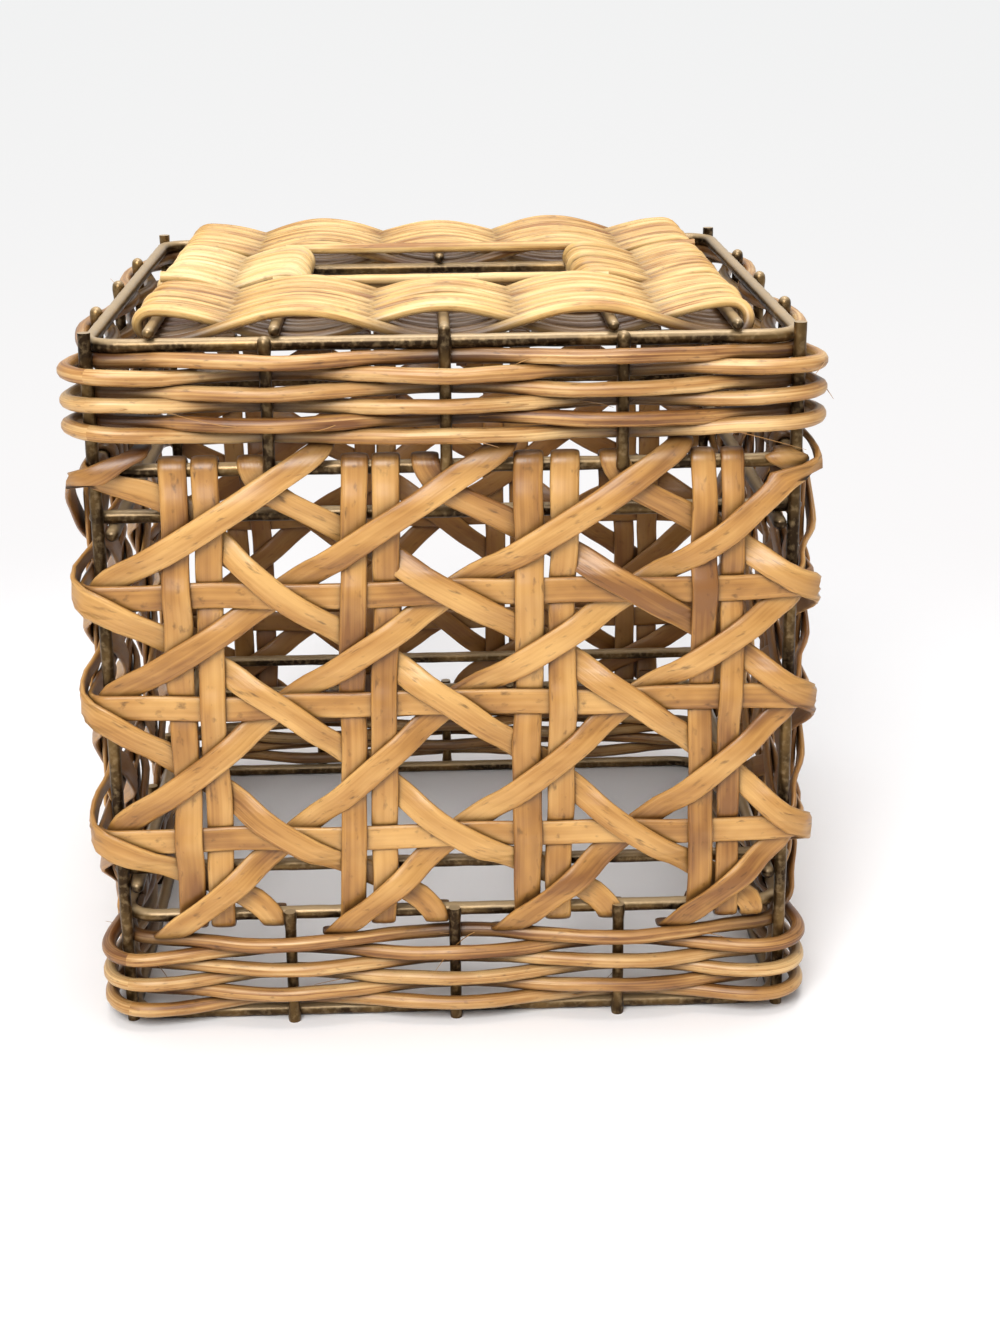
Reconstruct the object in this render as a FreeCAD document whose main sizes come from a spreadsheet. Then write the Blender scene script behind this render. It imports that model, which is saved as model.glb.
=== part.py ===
import FreeCAD, Part
import Sketcher
import math
import os

# Woven tissue box cover: a wire frame, two woven bands, a woven top with a slot,
# and a six-way cane lattice on all four sides. Open underneath.
# The origin is on the floor under the middle. The front looks along -Y, and +Z is up.

# Driving dimensions, in millimetres
SIZES = {
    # wire frame
    "half_width": 64.0,
    "rail_wire": 2.6,
    "rail_bend": 6.0,
    "post_wire": 2.4,
    "post_rise": 0.6,
    "stake_wire": 2.2,
    "stake_rise": 0.4,
    "tie_wire": 2.6,
    "tie_drop": 9.2,
    "top_stake_wire": 2.2,
    "top_stake_inset": 11.5,
    "top_stake_overhang": 1.0,
    "end_stake_overhang": 2.0,
    "inner_stake_inset": 1.72,
    "slot_half_depth": 22.1,
    "weld_gap": 0.05,
    "lattice_height": 89.1,
    # round reed of the two bands
    "band_reed": 2.6,
    "reed_gap": 0.1,
    "lower_row_gap": 0.1,
    "lower_seat": 0.4,
    "lower_headroom": 2.0,
    "upper_row_gap": 0.2,
    "upper_lift": 2.2,
    "upper_headroom": 0.5,
    "reed_bend": 25.0,
    "reed_corner_bend": 8.0,
    # round reed of the top
    "top_reed": 2.3,
    "top_row_pitch": 2.46,
    "top_reed_end": 3.0,
    "top_edge_gap": 1.6,
    "slot_reed_gap": 0.15,
    # flat cane of the lattice
    "cane_width": 5.0,
    "cane_thickness": 1.2,
    "cane_gap": 0.3,
    "fold_gap": 0.1,
    "cane_pair_spacing": 5.8,
    "cane_tail": 4.5,
    "cane_crossing_run": 5.5,
    "bulge_run": 7.0,
    "cane_turn": 4.0,
    "rising_past_stake": 2.7,
    "falling_past_stake": 4.2,
    "tuck_past_corner": 6.2,
    "section_step": 2.5,
}

# Counts
BAND_ROWS = 6
STAKES_PER_SIDE = 3
CELLS_PER_SIDE = 4
SIDES = ("front", "right", "back", "left")
CORNERS = ("front_left", "front_right", "back_right", "back_left")

# Heights of the three girdle canes, low to high, as shares of the lattice's height
GIRDLE_SHARES = (0.194, 0.497, 0.740)
# Where a diagonal cane reaches the lower rail, as shares of a cell past the lowest girdle
RISING_FOOT_SHARE = 0.62
FALLING_FOOT_SHARE = 0.88
FALLING_CORNER_FOOT_SHARE = 0.75
# An upright pair stands in the middle of a cell; beyond it a falling cane comes back to the rail
PAIR_SHARE = 0.50
FALLING_RETURN_SHARE = 0.64
# How much deeper a diagonal passes an upright pair in the end cells, where it lies flatter
END_DEPTH_SHARE = 0.35
# A top reed's bend, as a share of the widest that fits between an end stake and its neighbour
TOP_BEND_SHARE = 0.511
# Where a turn's window is sampled, as shares of its half width
WINDOW_SHARES = [number / 8 for number in range(-8, 9)]
# How flat a diagonal stays while it crosses a girdle or a pair
CROSSING_FLATNESS = 1.3
# How far round the rail a rising cane is tucked, and a falling or upright cane is folded
TUCK_TURN = math.radians(30)
FOLD_TURN = math.pi
FOLD_STEP_TURN = math.radians(20)

# Sizes that follow from the driving dimensions
FORMULAS = {
    "bottom_rim_height": "rail_wire / 2",
    "lower_row_pitch": "band_reed + lower_row_gap",
    "lower_first_row": "rail_wire + lower_seat + band_reed / 2",
    "lower_last_row": "lower_first_row + %d * lower_row_pitch" % (BAND_ROWS - 1),
    "lower_rail_height": "lower_last_row + band_reed / 2 + lower_headroom + rail_wire / 2",
    "upper_rail_height": "lower_rail_height + lattice_height",
    "lower_tie_height": "lower_rail_height + tie_drop",
    "upper_tie_height": "upper_rail_height - tie_drop",
    "upper_row_pitch": "band_reed + upper_row_gap",
    "upper_seat": "fold_gap + cane_thickness + 2 * reed_gap + upper_lift",
    "upper_first_row": "upper_rail_height + rail_wire / 2 + upper_seat + band_reed / 2",
    "upper_last_row": "upper_first_row + %d * upper_row_pitch" % (BAND_ROWS - 1),
    "top_rim_height": "upper_last_row + band_reed / 2 + upper_headroom + rail_wire / 2",
    "top_stake_height": "top_rim_height + rail_wire / 2 + top_stake_wire / 2 + weld_gap",
    "top_stake_end": "half_width - top_stake_inset",
    "top_reed_pass": "top_stake_wire / 2 + top_reed / 2 + reed_gap",
    "top_turn": "sqrt(top_row_pitch ^ 2 + 4 * top_reed_pass ^ 2) / 2",
    "slot_row_gap": "top_stake_wire / 2 + reed_gap + top_reed / 2",
    "short_row_reach": "slot_half_depth - slot_row_gap",
    "whole_row_start": "slot_half_depth + slot_row_gap",
    "whole_row_end": "half_width - rail_wire / 2 - top_edge_gap - top_reed / 2",
    "slot_wire_height": "top_stake_height - top_stake_wire - weld_gap",
    "stake_out": "half_width + rail_wire / 2 + stake_wire / 2 + weld_gap",
    "post_place": "half_width - rail_bend"
    " + (rail_bend + rail_wire / 2 + post_wire / 2 + weld_gap) * sqrt(0.5)",
    "post_height": "top_rim_height + rail_wire / 2 + post_rise",
    "stake_spacing": "2 * post_place / %d" % CELLS_PER_SIDE,
    "top_stake_inner": "stake_spacing - inner_stake_inset",
    "slot_half_length": "top_stake_inner - top_turn - top_reed / 2",
    "top_stake_room": "top_stake_end - top_stake_inner",
    "top_reed_bend": "%s * (top_stake_room ^ 2 + 4 * top_reed_pass ^ 2) / (8 * top_reed_pass)"
    % TOP_BEND_SHARE,
    "tie_out": "post_place - post_wire / 2 - tie_wire / 2 - weld_gap",
    "tie_step": "tie_wire + weld_gap",
    "layer_step": "cane_thickness + cane_gap",
    "fold_radius": "rail_wire / 2 + fold_gap + cane_thickness / 2",
    "bulge": "post_place + post_wire / 2 + cane_gap + cane_thickness / 2 + layer_step"
    " - half_width - fold_radius",
    "girdle_out": "half_width + fold_radius + bulge",
    "girdle_bend": "girdle_out - post_place",
    "cane_edge_radius": "(cane_width ^ 2 / 4 + cane_thickness ^ 2 / 4) / cane_thickness",
}

UP = FreeCAD.Vector(0, 0, 1)
doc = FreeCAD.newDocument("tissue_box_cover")
sheet = doc.addObject("Spreadsheet::Sheet", "sizes")
cells = [(name, str(number)) for name, number in SIZES.items()]
cells += [(name, "=" + formula) for name, formula in FORMULAS.items()]
for row, (name, text) in enumerate(cells, start=1):
    sheet.set("A%d" % row, name)
    sheet.set("B%d" % row, text)
    sheet.setAlias("B%d" % row, name)
doc.recompute()

nodes = []


def size(name):
    """A size from the sheet, as a plain number."""
    return float(sheet.get(name))


def bind(obj, **expressions):
    """Binds an object's properties to the sheet. Two underscores stand for a dot."""
    for name, expression in expressions.items():
        obj.setExpression(name.replace("__", "."), expression)
    return obj


def keep(obj, label):
    """Takes an object into the set that is written out, under its own name."""
    obj.Label = label
    nodes.append(obj)
    return obj


def group(label, pieces):
    """Like pieces that share one node, as separate solids."""
    compound = doc.addObject("Part::Compound", label)
    compound.Links = pieces
    return keep(compound, label)


def solid_feature(label, shape):
    """A piece whose shape is worked out in code from the sheet's sizes."""
    feature = doc.addObject("Part::Feature", label)
    feature.Shape = shape
    feature.Placement = FreeCAD.Placement()
    return keep(feature, label)


def rod(name, wire, turn, length, x="0", y="0", z="0"):
    """A straight wire that starts at x, y, z and runs along the turned Z axis."""
    cylinder = doc.addObject("Part::Cylinder", name)
    cylinder.Placement.Rotation = turn
    bind(cylinder, Radius=wire + " / 2", Height=length)
    bind(cylinder, Placement__Base__x=x, Placement__Base__y=y, Placement__Base__z=z)
    return cylinder


UPRIGHT = FreeCAD.Rotation()
ALONG_X = FreeCAD.Rotation(FreeCAD.Vector(0, 1, 0), 90)
ALONG_Y = FreeCAD.Rotation(FreeCAD.Vector(1, 0, 0), -90)


def rounded_square(name, half, bend, height):
    """The closed path of a wire or cane hoop: four straight runs and four bends."""
    sketch = doc.addObject("Sketcher::SketchObject", name)
    reach = size(half)
    radius = size(bend)
    signs = ((-1, -1), (1, -1), (1, 1), (-1, 1))
    runs = []
    bends = []
    for side, (ax, ay) in enumerate(signs):
        bx, by = signs[(side + 1) % len(signs)]
        along = FreeCAD.Vector((bx - ax) / 2, (by - ay) / 2, 0)
        start = FreeCAD.Vector(ax, ay, 0) * reach + along * radius
        end = FreeCAD.Vector(bx, by, 0) * reach - along * radius
        runs.append(sketch.addGeometry(Part.LineSegment(start, end)))
        centre = FreeCAD.Vector(bx, by, 0) * (reach - radius)
        first = math.radians(90 * side - 90)
        arc = Part.ArcOfCircle(Part.Circle(centre, UP, radius), first, first + math.pi / 2)
        bends.append(sketch.addGeometry(arc))
    rules = []
    for side, run in enumerate(runs):
        following = runs[(side + 1) % len(runs)]
        rules.append(Sketcher.Constraint("Tangent", run, 2, bends[side], 1))
        rules.append(Sketcher.Constraint("Tangent", bends[side], 2, following, 1))
        rules.append(Sketcher.Constraint("Vertical" if side % 2 else "Horizontal", run))
    rules += [Sketcher.Constraint("Equal", bends[0], other) for other in bends[1:]]
    sketch.addConstraint(rules)
    datums = {
        "bend": Sketcher.Constraint("Radius", bends[0], radius),
        "front": Sketcher.Constraint("DistanceY", runs[0], 1, -1, 1, reach),
        "right": Sketcher.Constraint("DistanceX", -1, 1, runs[1], 1, reach),
        "back": Sketcher.Constraint("DistanceY", -1, 1, runs[2], 1, reach),
        "left": Sketcher.Constraint("DistanceX", runs[3], 1, -1, 1, reach),
    }
    for datum, constraint in datums.items():
        sketch.renameConstraint(sketch.addConstraint(constraint), datum)
        sketch.setExpression("Constraints." + datum, "sizes." + (bend if datum == "bend" else half))
    bind(sketch, Placement__Base__z=height)
    return sketch


def hoop(label, profile, half, bend, height):
    """A closed hoop: a profile swept round a rounded square."""
    bind(profile, Placement__Base__y="-sizes." + half, Placement__Base__z=height)
    sweep = doc.addObject("Part::Sweep", label)
    sweep.Sections = [profile]
    sweep.Spine = (rounded_square(label + "_path", half, bend, height), [])
    sweep.Solid = True
    return keep(sweep, label)


def rail(label, height):
    """One bent wire hoop of the frame."""
    profile = doc.addObject("Part::Circle", label + "_section")
    profile.Placement.Rotation = ALONG_X
    bind(profile, Radius="sizes.rail_wire / 2")
    return hoop(label, profile, "half_width", "rail_bend", height)


def cane_section(name):
    """The cane's lens section: two shallow arcs that meet at thin edges."""
    sketch = doc.addObject("Sketcher::SketchObject", name)
    radius = size("cane_edge_radius")
    half_angle = math.asin(size("cane_width") / 2 / radius)
    offset = radius * math.cos(half_angle)
    arcs = []
    for centre, middle in ((-offset, 0), (offset, math.pi)):
        circle = Part.Circle(FreeCAD.Vector(centre, 0, 0), UP, radius)
        arc = Part.ArcOfCircle(circle, middle - half_angle, middle + half_angle)
        arcs.append(sketch.addGeometry(arc))
    one, other = arcs
    sketch.addConstraint([
        Sketcher.Constraint("Coincident", one, 2, other, 1),
        Sketcher.Constraint("Coincident", other, 2, one, 1),
        Sketcher.Constraint("Symmetric", one, 1, one, 2, -1, 1),
        Sketcher.Constraint("Vertical", one, 1, one, 2),
        Sketcher.Constraint("Equal", one, other),
    ])
    width = Sketcher.Constraint("DistanceY", one, 1, one, 2, size("cane_width"))
    sketch.renameConstraint(sketch.addConstraint(width), "width")
    sketch.setExpression("Constraints.width", "sizes.cane_width")
    curve = Sketcher.Constraint("Radius", one, radius)
    sketch.renameConstraint(sketch.addConstraint(curve), "curve")
    sketch.setExpression("Constraints.curve", "sizes.cane_edge_radius")
    out_way = FreeCAD.Vector(0, 1, 0)
    along_way = FreeCAD.Vector(1, 0, 0)
    sketch.Placement.Rotation = FreeCAD.Rotation(out_way, UP, along_way, "ZXY")
    return sketch


def belt(pulleys, height, closed):
    """Straight runs and tangent arcs past a row of pulleys, in a level plane.

    A pulley is x, y and a signed radius: positive where the path turns left.
    """
    count = len(pulleys)
    spans = count if closed else count - 1
    leave = [None] * count
    arrive = [None] * count
    for here in range(spans):
        there = (here + 1) % count
        ax, ay, a_radius = pulleys[here]
        bx, by, b_radius = pulleys[there]
        step = b_radius - a_radius
        run = math.sqrt((bx - ax) ** 2 + (by - ay) ** 2 - step ** 2)
        heading = math.atan2(by - ay, bx - ax) - math.atan2(step, run)
        leave[here] = heading
        arrive[there] = heading

    def on_pulley(index, heading):
        x, y, radius = pulleys[index]
        return FreeCAD.Vector(x + radius * math.sin(heading), y - radius * math.cos(heading), height)

    edges = []
    for here in range(count):
        if arrive[here] is None:
            arrive[here] = 0
        if leave[here] is None:
            leave[here] = 0
        turn = math.remainder(leave[here] - arrive[here], 2 * math.pi)
        start = on_pulley(here, arrive[here])
        middle = on_pulley(here, arrive[here] + turn / 2)
        end = on_pulley(here, leave[here])
        edges.append(Part.Arc(start, middle, end).toShape())
        if here < spans:
            there = (here + 1) % count
            edges.append(Part.LineSegment(end, on_pulley(there, leave[here])).toShape())
    return edges


def tube(edges, diameter):
    """A round reed along a path of runs and arcs."""
    path = Part.Wire(edges)
    first = path.Edges[0]
    start = first.valueAt(first.FirstParameter)
    along = first.tangentAt(first.FirstParameter)
    section = Part.Wire([Part.Circle(start, along, diameter / 2).toShape()])
    solid = path.makePipeShell([section], True, False)
    wanted = math.pi * diameter ** 2 / 4 * path.Length
    if abs(solid.Volume - wanted) > wanted / 1000:
        raise ValueError("a reed's volume is not its section times its length")
    return solid


def quarter_turn(x, y, side):
    """Turns a place on the front onto another side."""
    for _ in range(side):
        x, y = -y, x
    return x, y


def band_reed(label, height, outside_at_posts):
    """One row of a band: a closed reed that weaves in and out of posts and stakes."""
    post_pass = size("post_wire") / 2 + size("band_reed") / 2 + size("reed_gap")
    stake_pass = size("stake_wire") / 2 + size("band_reed") / 2 + size("reed_gap")
    corner_bend = size("reed_corner_bend")
    bend = size("reed_bend")
    lean = math.sqrt(0.5)
    pulleys = []
    for side in range(len(SIDES)):
        reach = post_pass - corner_bend if outside_at_posts else -post_pass - corner_bend
        corner = size("post_place") + reach * lean
        pulleys.append((*quarter_turn(-corner, -corner, side), corner_bend))
        outside = outside_at_posts
        for stake in range(STAKES_PER_SIDE):
            outside = not outside
            along = (stake - (STAKES_PER_SIDE - 1) / 2) * size("stake_spacing")
            if outside:
                out = size("stake_out") + stake_pass - bend
            else:
                out = size("stake_out") - stake_pass + bend
            place = quarter_turn(along, -out, side)
            pulleys.append((*place, bend if outside else -bend))
    return solid_feature(label, tube(belt(pulleys, height, True), size("band_reed")))


def top_reed(label, stakes, rows, first_over):
    """A reed that weaves to and fro over the top stakes, turning round the end ones.

    first_over is 0 where the first row passes over the first stake, else 1.
    """
    rise = size("top_reed_pass")
    bend = size("top_reed_bend")
    middle = size("top_stake_height")
    edges = []
    last = None
    for count, y in enumerate(rows):
        heading = -1 if count % 2 else 1
        passes = [(x, (number + count + first_over) % 2 == 0) for number, x in enumerate(stakes)]
        passes = passes[::heading]
        # the row is worked out flat, along and up, then stood on edge
        pulleys = []
        for x, over in passes:
            pulleys.append((heading * x, rise - bend if over else bend - rise, -bend if over else bend))
        stand = FreeCAD.Matrix(heading, 0, 0, 0, 0, 0, -heading, y, 0, 1, 0, middle)
        row = [edge.transformShape(stand) for edge in belt(pulleys, 0, False)]
        ahead = FreeCAD.Vector(heading, 0, 0)
        start = FreeCAD.Vector(passes[0][0], y, middle + (rise if passes[0][1] else -rise))
        end = FreeCAD.Vector(passes[-1][0], y, middle + (rise if passes[-1][1] else -rise))
        if last is None:
            edges.append(Part.LineSegment(start - ahead * size("top_reed_end"), start).toShape())
        else:
            round_end = (last + start) / 2 - ahead * ((start - last).Length / 2)
            edges.append(Part.Arc(last, round_end, start).toShape())
        edges += row
        last = end
    edges.append(Part.LineSegment(last, last + ahead * size("top_reed_end")).toShape())
    return solid_feature(label, tube(edges, size("top_reed")))


def spread(first, last):
    """Places of rows from first to last, as many as the row pitch allows.

    The number of steps is even, so that both outer rows pass the stakes alike.
    """
    count = 2 * int((last - first) / (2 * size("top_row_pitch")))
    return [first + (last - first) * number / count for number in range(count + 1)]


def smooth(share):
    """A step from 0 to 1 with level ends."""
    share = min(max(share, 0), 1)
    return share * share * (3 - 2 * share)


class Lattice:
    """The surface that the canes lie on, opened out flat.

    along runs round the cover from the front left corner, rise runs up from the lower rail
    and on round the upper rail, below zero round the lower rail, and lift is towards the eye.
    """

    def __init__(self):
        self.post = size("post_place")
        self.rail = size("half_width")
        self.low = size("lower_rail_height")
        self.high = size("upper_rail_height")
        self.height = size("lattice_height")
        self.fold = size("fold_radius")
        self.bulge = size("bulge")
        self.cell = size("stake_spacing")
        self.bend = size("girdle_bend")
        self.half_arc = self.bend * math.pi / 4
        self.side = 2 * self.post + 2 * self.half_arc
        self.girdles = [share * self.height for share in GIRDLE_SHARES]
        # a side's cells, counted in halves, and the places along of their edges and middles
        halves = [number / 2 for number in range(1, 2 * CELLS_PER_SIDE)]
        self.marks = [(0, 0)]
        self.marks += [(half, self.half_arc + self.cell * half) for half in halves]
        self.marks += [(CELLS_PER_SIDE, self.side)]

    def at_cell(self, cell):
        """The place along of a number of cells. Corners are whole multiples of a side."""
        side, rest = divmod(cell, CELLS_PER_SIDE)
        return side * self.side + through(self.marks, rest)

    def cell_at(self, along):
        """The number of cells at a place along."""
        side, rest = divmod(along, self.side)
        return side * CELLS_PER_SIDE + through([(place, cell) for cell, place in self.marks], rest)

    def point(self, along, rise, lift):
        """The place in space of a point on the opened-out surface."""
        side, rest = divmod(along, self.side)
        turn = 0
        x = rest - self.half_arc - self.post
        if rest < self.half_arc:
            turn = (rest - self.half_arc) / self.bend
            x = -self.post
        elif rest > self.side - self.half_arc:
            turn = (rest - self.side + self.half_arc) / self.bend
            x = self.post
        radius = self.fold + lift
        beyond = max(-rise, rise - self.height)
        if beyond <= 0:
            out = self.rail + radius + self.bulge * smooth(-beyond / size("bulge_run"))
            above = 0
        elif beyond <= math.pi * self.fold:
            out = self.rail + radius * math.cos(beyond / self.fold)
            above = radius * math.sin(beyond / self.fold)
        else:
            out = self.rail - radius
            above = math.pi * self.fold - beyond
        level = self.high + above if rise > self.height else self.low - above
        if beyond <= 0:
            level = self.low + rise
        reach = out - self.post
        x += reach * math.sin(turn)
        y = -self.post - reach * math.cos(turn)
        return FreeCAD.Vector(*quarter_turn(x, y, int(side) % len(SIDES)), level)

    def stations(self, low, high):
        """Rises at which a cane is measured: wide apart on the flat, close together on the folds."""
        ends = (low, -math.pi * self.fold, 0, self.height, self.height + math.pi * self.fold, high)
        ends = sorted({min(max(end, low), high) for end in ends})
        rises = [low]
        for start, end in zip(ends, ends[1:]):
            flat = 0 <= start < self.height
            step = size("section_step") if flat else self.fold * FOLD_STEP_TURN
            count = math.ceil((end - start) / step)
            rises += [start + (end - start) * number / count for number in range(1, count + 1)]
        return rises

    def cane(self, track, lift, low, high):
        """A flat cane from rise low to rise high, cut level at both ends.

        track gives the place along of its middle at a rise, and lift the layer at a place along
        and a rise. Its section is a lens: a crowned outer face and a crowned back that meet at
        thin edges.
        """
        half_thick = size("cane_thickness") / 2
        nudge = size("section_step") / 8
        rises = self.stations(low, high)
        left, right, crown, back = [], [], [], []
        for rise in rises:
            along = track(rise)
            slope = (track(rise + nudge) - track(rise - nudge)) / (2 * nudge)
            half = size("cane_width") / 2 * math.sqrt(1 + slope ** 2)
            left.append(self.point(along - half, rise, lift(along - half, rise)))
            right.append(self.point(along + half, rise, lift(along + half, rise)))
            crown.append(self.point(along, rise, lift(along, rise) + half_thick))
            back.append(self.point(along, rise, lift(along, rise) - half_thick))
        left_poles, right_poles = [spline(points, rises).getPoles() for points in (left, right)]
        faces = []
        for middle in (crown, back):
            guide = spline(middle, rises)
            # the middle poles that make each cross curve pass through the crown or the back
            tops = [top * 2 - (one + other) / 2
                    for one, top, other in zip(left_poles, guide.getPoles(), right_poles)]
            surface = Part.BSplineSurface()
            surface.buildFromPolesMultsKnots(
                [left_poles, tops, right_poles], (3, 3), guide.getMultiplicities(),
                (0, 1), guide.getKnots(), False, False, 2, guide.Degree,
            )
            faces.append(surface)
        skins = [face.toShape() for face in faces]
        for rise in (low, high):
            rim = Part.Wire([face.vIso(rise).toShape() for face in faces])
            skins.append(Part.Face(rim))
        shell = Part.makeShell(skins)
        shell.sewShape()
        solid = Part.makeSolid(shell)
        if solid.Volume < 0:
            solid.reverse()
        return solid


def spline(points, places):
    """A smooth curve through points at given places along it."""
    curve = Part.BSplineCurve()
    curve.interpolate(Points=points, Parameters=places)
    return curve


def upright_cane(lattice, middle, first_sign):
    """An upright: over one girdle and under the next, folded round both rails."""
    tail = FOLD_TURN * lattice.fold + size("cane_tail")

    def lift(along, rise):
        total = 0
        for number, girdle in enumerate(lattice.girdles):
            off = min(abs(rise - girdle) / size("cane_crossing_run"), 1)
            total += first_sign * (-1) ** number * size("layer_step") * math.cos(off * math.pi / 2) ** 3
        return total

    return lattice.cane(lambda rise: middle, lift, -tail, lattice.height + tail)


def through(places, value):
    """Straight-line reading of a table of (place, reading) pairs, in rising order of place."""
    for (a, first), (b, second) in zip(places, places[1:]):
        if value <= b:
            break
    return first + (second - first) * (value - a) / (b - a)


def eased(places, value, window):
    """The same reading, averaged over a window, so that a corner becomes a gentle turn."""
    readings = [through(places, value + window * share) for share in WINDOW_SHARES]
    return sum(readings) / len(readings)


def diagonal_cane(lattice, node, rising):
    """A diagonal through a crossing on the lowest girdle, one cell along for each girdle passed.

    A rising cane goes over the upright pairs and under the girdles, and is tucked under the
    bands. A falling cane goes the other way about, and is folded round the rails.
    """
    step = size("layer_step")
    way = 1 if rising else -1
    girdles = len(lattice.girdles)
    past = size("rising_past_stake" if rising else "falling_past_stake")
    if (node + way * girdles) % CELLS_PER_SIDE == 0:
        past = size("tuck_past_corner") + lattice.half_arc
    foot = RISING_FOOT_SHARE if rising else FALLING_FOOT_SHARE
    if not rising and (node + 1) % CELLS_PER_SIDE == 0:
        foot = FALLING_CORNER_FOOT_SHARE
    turn = size("cane_turn")
    tail = TUCK_TURN * lattice.fold if rising else FOLD_TURN * lattice.fold + size("cane_tail")
    foot_place = (0 if rising else turn / 2, lattice.at_cell(node - way * foot))
    head_rise = lattice.height if rising else lattice.height - turn / 2
    head_place = (head_rise, lattice.at_cell(node + way * girdles) + way * past)
    line = [(girdle, lattice.at_cell(node + way * number)) for number, girdle in enumerate(lattice.girdles)]
    line = [foot_place] + line + [head_place]
    if not rising:
        # beyond the turns the cane runs straight round the rail
        line = [(-tail, foot_place[1])] + line + [(lattice.height + tail, head_place[1])]
    stake_clear = size("stake_out") + size("stake_wire") / 2 + size("cane_gap")
    head_lift = stake_clear + size("cane_thickness") / 2 - lattice.rail - lattice.fold
    last = girdles - 1

    def track(rise):
        return eased(line, rise, turn)

    def cells_to(along):
        """Cells passed since the lowest girdle, below zero under it."""
        return way * (lattice.cell_at(along) - node)

    head = cells_to(track(lattice.height)) - last

    def lift(along, rise):
        """Over or under, from how far the point and the cane's middle have come, in cells."""
        level = min(max(rise, 0), lattice.height)
        up = cells_to(track(level))
        across = cells_to(along) if level == rise else up
        held = [min(max(cell, -PAIR_SHARE), last + PAIR_SHARE) for cell in (across, up)]
        wave = sum(math.cos(2 * math.pi * cell) for cell in held)
        wave = math.tanh(CROSSING_FLATNESS * wave) / math.tanh(2 * CROSSING_FLATNESS)
        end, full = (-up, foot) if up < 0 else (up - last, head)
        depth = step * (1 + END_DEPTH_SHARE * smooth(end / PAIR_SHARE))
        if rising:
            goal = head_lift if up > 0 else depth
            return (goal - depth) * smooth((end - PAIR_SHARE) / (full - PAIR_SHARE)) - depth * wave
        return depth * smooth((end - FALLING_RETURN_SHARE) / (full - FALLING_RETURN_SHARE)) + depth * wave

    return lattice.cane(track, lift, -tail, lattice.height + tail)


# Frame hoops
rail("bottom_rim", "sizes.bottom_rim_height")
rail("lower_rail", "sizes.lower_rail_height")
rail("upper_rail", "sizes.upper_rail_height")
rail("top_rim", "sizes.top_rim_height")

# Corner posts, outside the bends of the hoops
for corner, (x_sign, y_sign) in zip(CORNERS, (("-", "-"), ("", "-"), ("", ""), ("-", ""))):
    post_x = x_sign + "sizes.post_place"
    post_y = y_sign + "sizes.post_place"
    post = rod("corner_post_" + corner, "sizes.post_wire", UPRIGHT, "sizes.post_height", post_x, post_y)
    keep(post, "corner_post_" + corner)

# Band stakes, welded outside the hoops, three to a side
SIDE_WAYS = {
    "front": ("{along}", "-sizes.stake_out"),
    "right": ("sizes.stake_out", "{along}"),
    "back": ("{along}", "sizes.stake_out"),
    "left": ("-sizes.stake_out", "{along}"),
}
LOWER_LENGTH = "sizes.lower_rail_height + sizes.rail_wire / 2"
UPPER_LENGTH = "sizes.top_rim_height + sizes.rail_wire / 2 - sizes.upper_rail_height"
STAKE_RISE = " + sizes.stake_rise"
# The middle stakes at the front and back stand up to the ends of the middle top stakes
MIDDLE_RISE = " + sizes.top_stake_wire"
for side_name, (x_way, y_way) in SIDE_WAYS.items():
    lower = []
    upper = []
    for number in range(STAKES_PER_SIDE):
        along_text = "%d * sizes.stake_spacing" % (number - STAKES_PER_SIDE // 2)
        stake_x = x_way.format(along=along_text)
        stake_y = y_way.format(along=along_text)
        lower.append(rod("lower_stake", "sizes.stake_wire", UPRIGHT, LOWER_LENGTH, stake_x, stake_y))
        at_top_stake = number == STAKES_PER_SIDE // 2 and side_name in ("front", "back")
        upper_length = UPPER_LENGTH + (MIDDLE_RISE if at_top_stake else STAKE_RISE)
        upper.append(rod("upper_stake", "sizes.stake_wire", UPRIGHT, upper_length,
                         stake_x, stake_y, "sizes.upper_rail_height"))
    group("lower_stakes_" + side_name, lower)
    group("upper_stakes_" + side_name, upper)

# Tie wires, inside the posts, where the canes' tails are caught
TIE_LENGTH = "2 * sizes.post_place + sizes.post_wire"
TIE_START = "-sizes.post_place - sizes.post_wire / 2"
for level in ("lower", "upper"):
    cross_height = "sizes.%s_tie_height" % level
    side_height = cross_height + " - sizes.tie_step"
    cross_ties = []
    side_ties = []
    for sign in ("-", ""):
        out_place = sign + "sizes.tie_out"
        cross_ties.append(rod(level + "_cross_tie", "sizes.tie_wire", ALONG_X, TIE_LENGTH,
                              TIE_START, out_place, cross_height))
        side_ties.append(rod(level + "_side_tie", "sizes.tie_wire", ALONG_Y, TIE_LENGTH,
                             out_place, TIE_START, side_height))
    group("%s_tie_wires_front_back" % level, cross_ties)
    group("%s_tie_wires_left_right" % level, side_ties)

# Top stakes lie on the rim from front to back; the middle one stops at the slot
END_REACH = "(sizes.half_width + sizes.end_stake_overhang)"
TOP_REACH = "(sizes.half_width + sizes.top_stake_overhang)"
TOP_STAKES = {
    "top_stake_left_end": ("-sizes.top_stake_end", END_REACH),
    "top_stake_left": ("-sizes.top_stake_inner", TOP_REACH),
    "top_stake_right": ("sizes.top_stake_inner", TOP_REACH),
    "top_stake_right_end": ("sizes.top_stake_end", END_REACH),
}
for name, (stake_x, reach) in TOP_STAKES.items():
    keep(rod(name, "sizes.top_stake_wire", ALONG_Y, "2 * " + reach,
             stake_x, "-" + reach, "sizes.top_stake_height"), name)
SHORT_STAKE = TOP_REACH + " - sizes.slot_half_depth + sizes.top_stake_wire / 2"
SHORT_STARTS = {
    "top_stake_middle_front": "-" + TOP_REACH,
    "top_stake_middle_back": "sizes.slot_half_depth - sizes.top_stake_wire / 2",
}
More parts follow.
